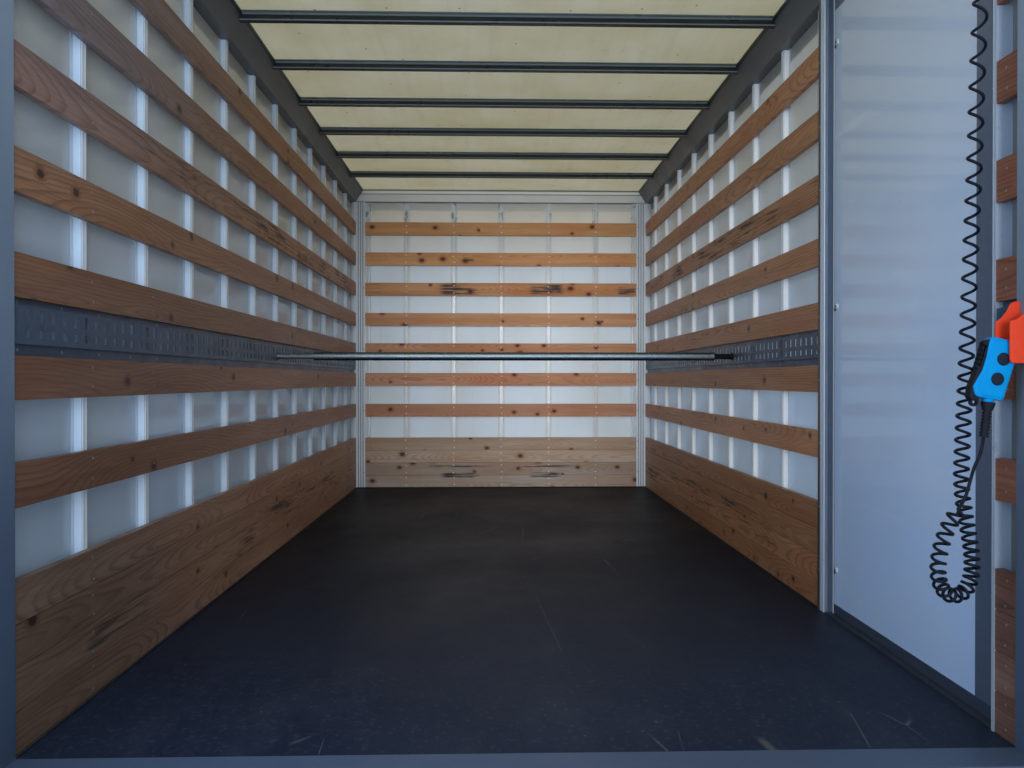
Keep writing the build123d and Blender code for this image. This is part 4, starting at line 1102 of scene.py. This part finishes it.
# outside: rivets along the edge profiles, bolts in hinges and brackets
def makeOutside():
    plan = outsidePlan
    away, inset, pitch = plan["away"], plan["postInset"], plan["rivetPitch"]
    rivetMetal = drawnAluminium("rivet aluminium", (0.58, 0.60, 0.62), 0.8, 0.3)
    spots = []
    for side in (-1, 1):
        inward = (-side, 0, 0)
        for y in rowOf(*between((bodyRear, bodyFront), plan["rowEnds"]), pitch):
            spots.append(landOn("edge_rails", (side * away, y, plan["edgeRow"]), inward))
            spots.append(landOn("cant_rails", (side * away, y, plan["cantRow"]), inward))
        for z in rowOf(*plan["postRows"], pitch):
            spots.append(landOn("corner_posts", (side * away, bodyFront - inset, z), inward))
            spots.append(landOn("corner_posts", (side * (bodySide - inset), plan["ahead"], z), backWay))
    for x in rowOf(-plan["frontRow"], plan["frontRow"], pitch):
        spots.append(landOn("front_header", (x, plan["ahead"], plan["cantRow"]), backWay))
        spots.append(landOn("front_sill", (x, plan["ahead"], plan["edgeRow"]), backWay))
    fasten("edge_rivets", "rivet", plan["rivetSize"], rivetMetal, "root", spots, 5)
    boltMetal = zincCoat("bolt zinc", (0.52, 0.54, 0.55), 0.8, 0.28, 0.42)
    for side, door in ((-1, "rear_door_left"), (1, "rear_door_right")):
        spots = [landOn(f"{door}_hinges", (side * away, y, (low.z + high.z) / 2), (-side, 0, 0))
                 for low, high in solidBoxes(f"{door}_hinges") for y in plan["strapBolts"]]
        fasten(f"{door}_bolts", "bolt", plan["boltSize"], boltMetal, door, spots, 6)
    spots = []
    for low, high in solidBoxes("rear_hinge_brackets"):
        side = 1 if low.x > 0 else -1
        for z in between((low.z, high.z), plan["bracketEnds"]):
            spots.append(landOn("rear_hinge_brackets", (side * away, plan["bracketY"], z), (-side, 0, 0)))
    for low, high in solidBoxes("side_hinge_plates"):
        for z in between((low.z, high.z), plan["plateEnds"]):
            spots.append(landOn("side_hinge_plates", (away, plan["plateY"], z), leftWay))
    fasten("bracket_bolts", "bolt", plan["boltSize"], boltMetal, "root", spots, 7)
    spots = [landOn("side_door_hinges", (away, y, (low.z + high.z) / 2), leftWay)
             for low, high in solidBoxes("side_door_hinges") for y in plan["doorBolts"]]
    fasten("side_door_bolts", "bolt", plan["doorBoltSize"], boltMetal, "side_door", spots, 8)


doorPlan = {"stripY": -2.200, "stripHeights": (0.022, 0.333, 0.635, 0.900, 1.157, 1.426, 1.679, 1.950, 2.220),
            "stripSize": 0.0045, "linerY": -1.252, "linerHeights": (0.174, 1.191, 2.207), "darkY": -1.236,
            "darkDrop": 0.012, "washerSize": 0.0115, "washerSink": 0.0015, "boltSize": 0.0062,
            "boltLift": 0.004}


# inside of the side door: small screws along its rear strip, hinge bolts on white washers at its front
def makeDoorFasteners():
    plan = doorPlan
    steel = zincCoat("door screw zinc", (0.62, 0.64, 0.66), 0.75, 0.26, 0.4)
    dark = satinPaint("blackened bolt", (0.02, 0.022, 0.026), 0.45)
    white = satinPaint("washer white", (0.62, 0.66, 0.70), 0.4)

    def leafSpots(y, heights, drop=0.0):
        return [landOn("side_door_leaf", (0, y, floorTop + height - drop), rightWay) for height in heights]

    strip = leafSpots(plan["stripY"], plan["stripHeights"])
    fasten("door_strip_screws", "screw", plan["stripSize"], steel, "side_door", strip, 9)
    hinges = leafSpots(plan["linerY"], plan["linerHeights"])
    sunk = [(place + Vector((plan["washerSink"], 0, 0)), way) for place, way in hinges]
    fasten("door_washers", "rivet", plan["washerSize"], white, "side_door", sunk, 10)
    spots = [(place - Vector((plan["boltLift"], 0, 0)), way) for place, way in hinges]
    spots += leafSpots(plan["darkY"], plan["linerHeights"], plan["darkDrop"])
    fasten("door_hinge_bolts", "bolt", plan["boltSize"], dark, "side_door", spots, 12)


makeScrews()
makeOutside()
makeDoorFasteners()
for head in heads.values():
    bpy.data.objects.remove(head)
print("fasteners made")


# corners (u, w, radius) made into one smooth outline: each corner becomes a short curve
def smoothOutline(corners, steps=6):
    points = []
    for n, (u, w, radius) in enumerate(corners):
        here = Vector((u, w))
        before = Vector(corners[n - 1][:2]) - here
        after = Vector(corners[(n + 1) % len(corners)][:2]) - here
        reach = radius / math.tan(before.angle(after) / 2)
        start = here + before.normalized() * min(reach, 0.48 * before.length)
        end = here + after.normalized() * min(reach, 0.48 * after.length)
        for k in range(steps + 1):
            share = k / steps
            points.append(start * (1 - share) ** 2 + here * 2 * share * (1 - share) + end * share ** 2)
    return points


def insetOutline(points, distance):
    moved = []
    for n, here in enumerate(points):
        back = here - points[n - 1]
        ahead = points[(n + 1) % len(points)] - here
        along = back.normalized() + ahead.normalized()
        moved.append(here + Vector((-along.y, along.x)).normalized() * distance)
    return moved


# a plate between two depths with rounded front and back edges; outline in millimetres, run anticlockwise
def slab(name, outline, back, front, edge, rounds=4):
    levels = []
    for k in range(rounds + 1):
        angle = math.pi / 2 * k / rounds
        levels.append((edge * (1 - math.sin(angle)), back - edge * (1 - math.cos(angle))))
    levels += [(inset, front + (back - depth)) for inset, depth in reversed(levels)]
    area = sum(a.x * b.y - b.x * a.y for a, b in zip(outline, outline[1:] + outline[:1]))
    way = 1 if area > 0 else -1
    corners = []
    count = len(outline)
    for inset, depth in levels:
        corners += [(p.x / 1000, depth / 1000, p.y / 1000) for p in insetOutline(outline, way * inset)]
    faces = ringFaces(len(levels), count)
    faces.append(tuple(range(count)))
    faces.append(tuple((len(levels) - 1) * count + n for n in reversed(range(count))))
    return meshFrom(name, corners, faces, fineMerge)


# a ring round the depth axis: outer and inner radius, half its depth
def eyelet(name, outer, inner, half, edge=1.5, sides=28):
    section = ((inner, half - edge), (inner + edge, half), (outer - edge, half), (outer, half - edge),
               (outer, edge - half), (outer - edge, -half), (inner + edge, -half), (inner, edge - half))
    corners = []
    for n in range(sides):
        angle = 2 * math.pi * n / sides
        corners += [(r * math.cos(angle) / 1000, d / 1000, r * math.sin(angle) / 1000) for r, d in section]
    return meshFrom(name, corners, ringFaces(sides, len(section), True), fineMerge)


def placed(mesh, place):
    mesh.transform(place)
    return mesh


fineMerge = 0.0000005
controlPlan = {
    "centre": (1.142, -2.376, 0.934), "tilt": 17, "half": 16,
    "shell": ((-42, 71, 16), (34, 74, 13), (33, -72, 14), (-36, -80, 17), (-47.5, -58, 9), (-43, -38, 10),
              (-37, -14, 24), (-37, 18, 24)),
    "pad": ((-27, 66, 12), (29, 68, 9), (28, -65, 9), (-25, -72, 13), (-37, -54, 9), (-31, -16, 16),
            (-34, 24, 24)),
    "buttons": ((1.5, 24.5), (1.5, -25.5)),
    "scallops": 6, "scallopFrom": 50, "scallopTo": -20,
    "grip": ((-30, 56, 3), (-38, 64, 5), (-50, 55, 7)),
    "fin": ((-48.5, -30, 10), (-50.5, -62, 14), (-47, -84, 8), (-38, -93, 8), (-22, -84, 6), (-24, -66, 8),
            (-30, -40, 10)),
    "eye": (-28, -92), "eyeOuter": 11, "eyeInner": 4.6,
    "holderBack": ((0, 165, 2), (-12, 165, 9), (-23, 161, 12), (-33, 142, 26), (-46, 125, 14), (-61, 114, 6),
                   (-61, 52, 12), (-36, 14, 12), (0, 14, 2)),
    "holderFront": ((0, 142, 4), (-22, 131, 14), (-37, 119, 14), (-55, 114, 5), (-55, 13, 12), (0, 13, 4)),
    "scallop": ((-50.5, 0.22, 2.5), (-46.5, 0.62, 2.0)),
    "neck": ((0, -88), (11.5, -88), (11.5, -84), (12.5, -80), (14, -72), (0, -72)), "neckShift": 0.0045,
    "button": ((0, -2), (15.8, -2), (15.8, 0.5), (15.2, 1.0), (14.7, 0.4), (14.5, 1.6), (13.6, 2.5), (9, 3.0),
               (0, 3.2)),
    "foot": ((-5, 20, 1), (0, 20, 1), (0, 134, 1), (-5, 134, 1)),
    "padProud": 1.8, "gripInset": 4, "eyeHalf": 5, "backPlate": 5, "frontPlate": 7, "postWidth": 0.060,
    "edges": {"shell": 5, "pad": 1.6, "grip": 3, "back": 1.6, "front": 2.6, "foot": 0.4},
}


def makeControl():
    plan = controlPlan
    x, y, height = plan["centre"]
    tilt = Matrix.Rotation(math.radians(plan["tilt"]), 4, "Y")
    centre = Matrix.Translation((x, y, floorTop + height)) @ tilt
    half, proud, edges = plan["half"], plan["padProud"], plan["edges"]
    shell = slab("control_shell", smoothOutline(plan["shell"], 8), half, -half, edges["shell"])
    pad = slab("control_pad", smoothOutline(plan["pad"], 8), 0, -half - proud, edges["pad"])
    neck = placed(turned("control_neck", plan["neck"], 32), Matrix.Translation((plan["neckShift"], 0, 0)))
    blue = moulded("blue shell", (0.0, 0.25, 0.60), 0.45, 0.2)
    mesh = placed(joinMeshes("control_case", [shell, pad, neck]), centre)
    makePiece("control_case", mesh, blue, "root", ["control_handset"])
    # grip: a scalloped edge along the upper half, a plain fin down to the eye
    outline = list(plan["grip"])
    pitch = (plan["scallopFrom"] - plan["scallopTo"]) / plan["scallops"]
    for n in range(plan["scallops"]):
        top = plan["scallopFrom"] - n * pitch
        outline += [(u, top - share * pitch, radius) for u, share, radius in plan["scallop"]]
    outline += plan["fin"]
    gripHalf = half - plan["gripInset"]
    grip = slab("control_grip_body", smoothOutline(outline, 4), gripHalf, -gripHalf, edges["grip"])
    eye = eyelet("control_eye", plan["eyeOuter"], plan["eyeInner"], plan["eyeHalf"])
    placed(eye, Matrix.Translation((plan["eye"][0] / 1000, 0, plan["eye"][1] / 1000)))
    mesh = placed(joinMeshes("control_handle", [grip, eye]), centre)
    makePiece("control_handle", mesh, blackRubber, "root", ["control_grip"])
    outward = Matrix.Rotation(math.pi / 2, 4, "X")
    buttons = []
    for u, w in plan["buttons"]:
        spot = Matrix.Translation((u / 1000, (-half - proud) / 1000, w / 1000))
        buttons.append(placed(turned("control_button", plan["button"], 40), spot @ outward))
    keyRubber = moulded("key rubber", (0.008, 0.014, 0.030), 0.5, 0.3)
    mesh = placed(joinMeshes("control_keys", buttons), centre)
    makePiece("control_keys", mesh, keyRubber, "root", ["control_buttons"])
    # holder: a shaped plate behind the case, a rounded one in front, and a foot on the post between them
    low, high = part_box("control_holder")
    near, far = (low.y - y) * 1000, (high.y - y) * 1000
    back = slab("holder_back", smoothOutline(plan["holderBack"]), far, far - plan["backPlate"], edges["back"])
    front = slab("holder_front", smoothOutline(plan["holderFront"]), near + plan["frontPlate"], near,
                 edges["front"])
    web = slab("holder_foot", smoothOutline(plan["foot"], 2), far - 1, near + 1, edges["foot"])
    orange = moulded("orange shell", (0.70, 0.055, 0.020), 0.42, 0.3)
    postIn = Matrix.Translation((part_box("rear_posts")[1].x - plan["postWidth"], y, floorTop + height))
    mesh = placed(joinMeshes("control_hook", [back, front, web]), postIn)
    makePiece("control_hook", mesh, orange, "root", ["control_holder"])


makeControl()
print("control made")


# a bar between two corners with small rounded edges
def strip(low, high, rounding):
    grid = bmesh.new()
    bmesh.ops.create_cube(grid, size=1.0)
    size = Vector(high) - Vector(low)
    middle = (Vector(low) + Vector(high)) / 2
    for vert in grid.verts:
        vert.co = Vector(vert.co[i] * size[i] + middle[i] for i in range(3))
    bmesh.ops.bevel(grid, geom=grid.edges[:], offset=rounding, segments=2, profile=0.5, affect="EDGES",
                    clamp_overlap=True)
    return gridMesh("strip", grid)


sealPlan = {"proud": 0.0045, "rear": 0.0050, "width": 0.016, "inset": 0.018, "bead": 0.007,
            "side": (1.232, 1.2475), "doorMiddle": -1.5, "short": 0.004, "beadEnd": -1.150,
            "rounding": 0.0012, "rearRounding": 0.0015, "beadRounding": 0.0025}


def makeSeals():
    plan = sealPlan
    rubber = moulded("seal rubber", (0.060, 0.082, 0.125), 0.5)
    jambs = sorted(solidBoxes("side_door_jambs"), key=lambda pair: pair[0].y)
    frontJamb = next(low.y for low, high in jambs if low.y > plan["doorMiddle"])
    rearJamb = next(high.y for low, high in jambs if low.y < plan["doorMiddle"])
    leafLow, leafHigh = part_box("side_door_leaf")
    bottom, top = leafLow.z + plan["short"], leafHigh.z - plan["short"]
    strips = [strip((plan["side"][0], y, bottom), (plan["side"][1], y + plan["proud"], top), plan["rounding"])
              for y in (frontJamb - plan["proud"], rearJamb)]
    makePiece("side_door_seals", joinMeshes("side_door_seals", strips), rubber, "root")
    for door, sign in (("rear_door_left", -1), ("rear_door_right", 1)):
        low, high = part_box(f"{door}_leaf")
        inner = low.x if sign > 0 else high.x
        near, far = sorted((inner, inner - sign * plan["rear"]))
        y0, y1 = low.y + plan["inset"], high.y - plan["inset"]
        z0, z1 = low.z + plan["inset"], high.z - plan["inset"]
        w = plan["width"]
        spans = ((y0, y1, z0, z0 + w), (y0, y1, z1 - w, z1), (y0, y0 + w, z0 + w, z1 - w),
                 (y1 - w, y1, z0 + w, z1 - w))
        strips = [strip((near, a, c), (far, b, d), plan["rearRounding"]) for a, b, c, d in spans]
        makePiece(f"{door}_seal", joinMeshes(f"{door}_seal", strips), rubber, door)
    # sealing bead where the boards meet the deck
    bead, rise = plan["bead"], floorTop + plan["bead"]
    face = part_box("front_kickboard")[0].y
    spans = ((-lathFace, bead - lathFace, rearEdge, face), (lathFace - bead, lathFace, plan["beadEnd"], face),
             (bead - lathFace, lathFace - bead, face - bead, face))
    strips = [strip((a, c, floorTop), (b, d, rise), plan["beadRounding"]) for a, b, c, d in spans]
    dark = moulded("sealing compound", (0.018, 0.017, 0.018), 0.6)
    makePiece("deck_bead", joinMeshes("deck_bead", strips), dark, "root")


makeSeals()
print("seals made")


lightPlan = {"world": 0.75, "sky": (0.86, 0.94, 1.06), "behind": 2.0, "behindTint": (0.92, 0.96, 1.0),
             "behindSpread": 24, "behindFall": 3, "behindTurn": -4, "opening": 26.0,
             "openingTint": (0.56, 0.78, 1.06), "openingAt": (-0.90, -3.18, 1.4), "openingSize": (0.86, 1.8),
             "openingTurn": -42, "stage": 14.0}


def makeLamp(data, strength, tint, turn):
    data.energy = strength
    data.color = tint
    lamp = linked(data.name, data)
    lamp.rotation_euler = [math.radians(angle) for angle in turn]
    lamp.visible_glossy = False
    return lamp


def makeLights():
    plan = lightPlan
    world = bpy.data.worlds.new("world")
    bpy.context.scene.world = world
    world.use_nodes = True
    world.node_tree.nodes.clear()
    graph = Graph(world.node_tree)
    seen = graph.node("ShaderNodeLightPath", out="Is Camera Ray")
    outputs = seen.socket.node.outputs
    glossy = Wire(graph, outputs["Is Glossy Ray"])
    clear = Wire(graph, outputs["Is Transmission Ray"])
    shown = (seen + glossy + clear).clamped()
    light = graph.node("ShaderNodeBackground", None, [(*plan["sky"], 1), plan["world"]])
    backdrop = graph.node("ShaderNodeBackground", None, [(0.93, 0.94, 0.95, 1), 1.0])
    mixed = graph.node("ShaderNodeMixShader", None, [shown, light, backdrop])
    graph.node("ShaderNodeOutputWorld", None, [mixed])
    data = bpy.data.lights.new("behind", "SUN")
    data.angle = math.radians(plan["behindSpread"])
    makeLamp(data, plan["behind"], plan["behindTint"], (90 - plan["behindFall"], 0, plan["behindTurn"]))
    # daylight in the open rear end
    data = bpy.data.lights.new("opening", "AREA")
    data.shape = "RECTANGLE"
    data.size, data.size_y = plan["openingSize"]
    lamp = makeLamp(data, plan["opening"], plan["openingTint"], (90, 0, plan["openingTurn"]))
    x, y, height = plan["openingAt"]
    lamp.location = (x, y, floorTop + height)
    lamp.visible_camera = False


def makeStage():
    finish = Finish("stage")
    mesh = bpy.data.meshes.new("stage_floor")
    half = lightPlan["stage"]
    corners = [(-half, -half, 0), (half, -half, 0), (half, half, 0), (-half, half, 0)]
    mesh.from_pydata(corners, [], [(0, 1, 2, 3)])
    mesh.materials.append(finish.done(finish.gloss((0.82, 0.82, 0.81), 0.7)))
    linked("stage_floor", mesh)


makeLights()
makeStage()
bpy.context.scene.view_settings.view_transform = "Standard"
print("lit")
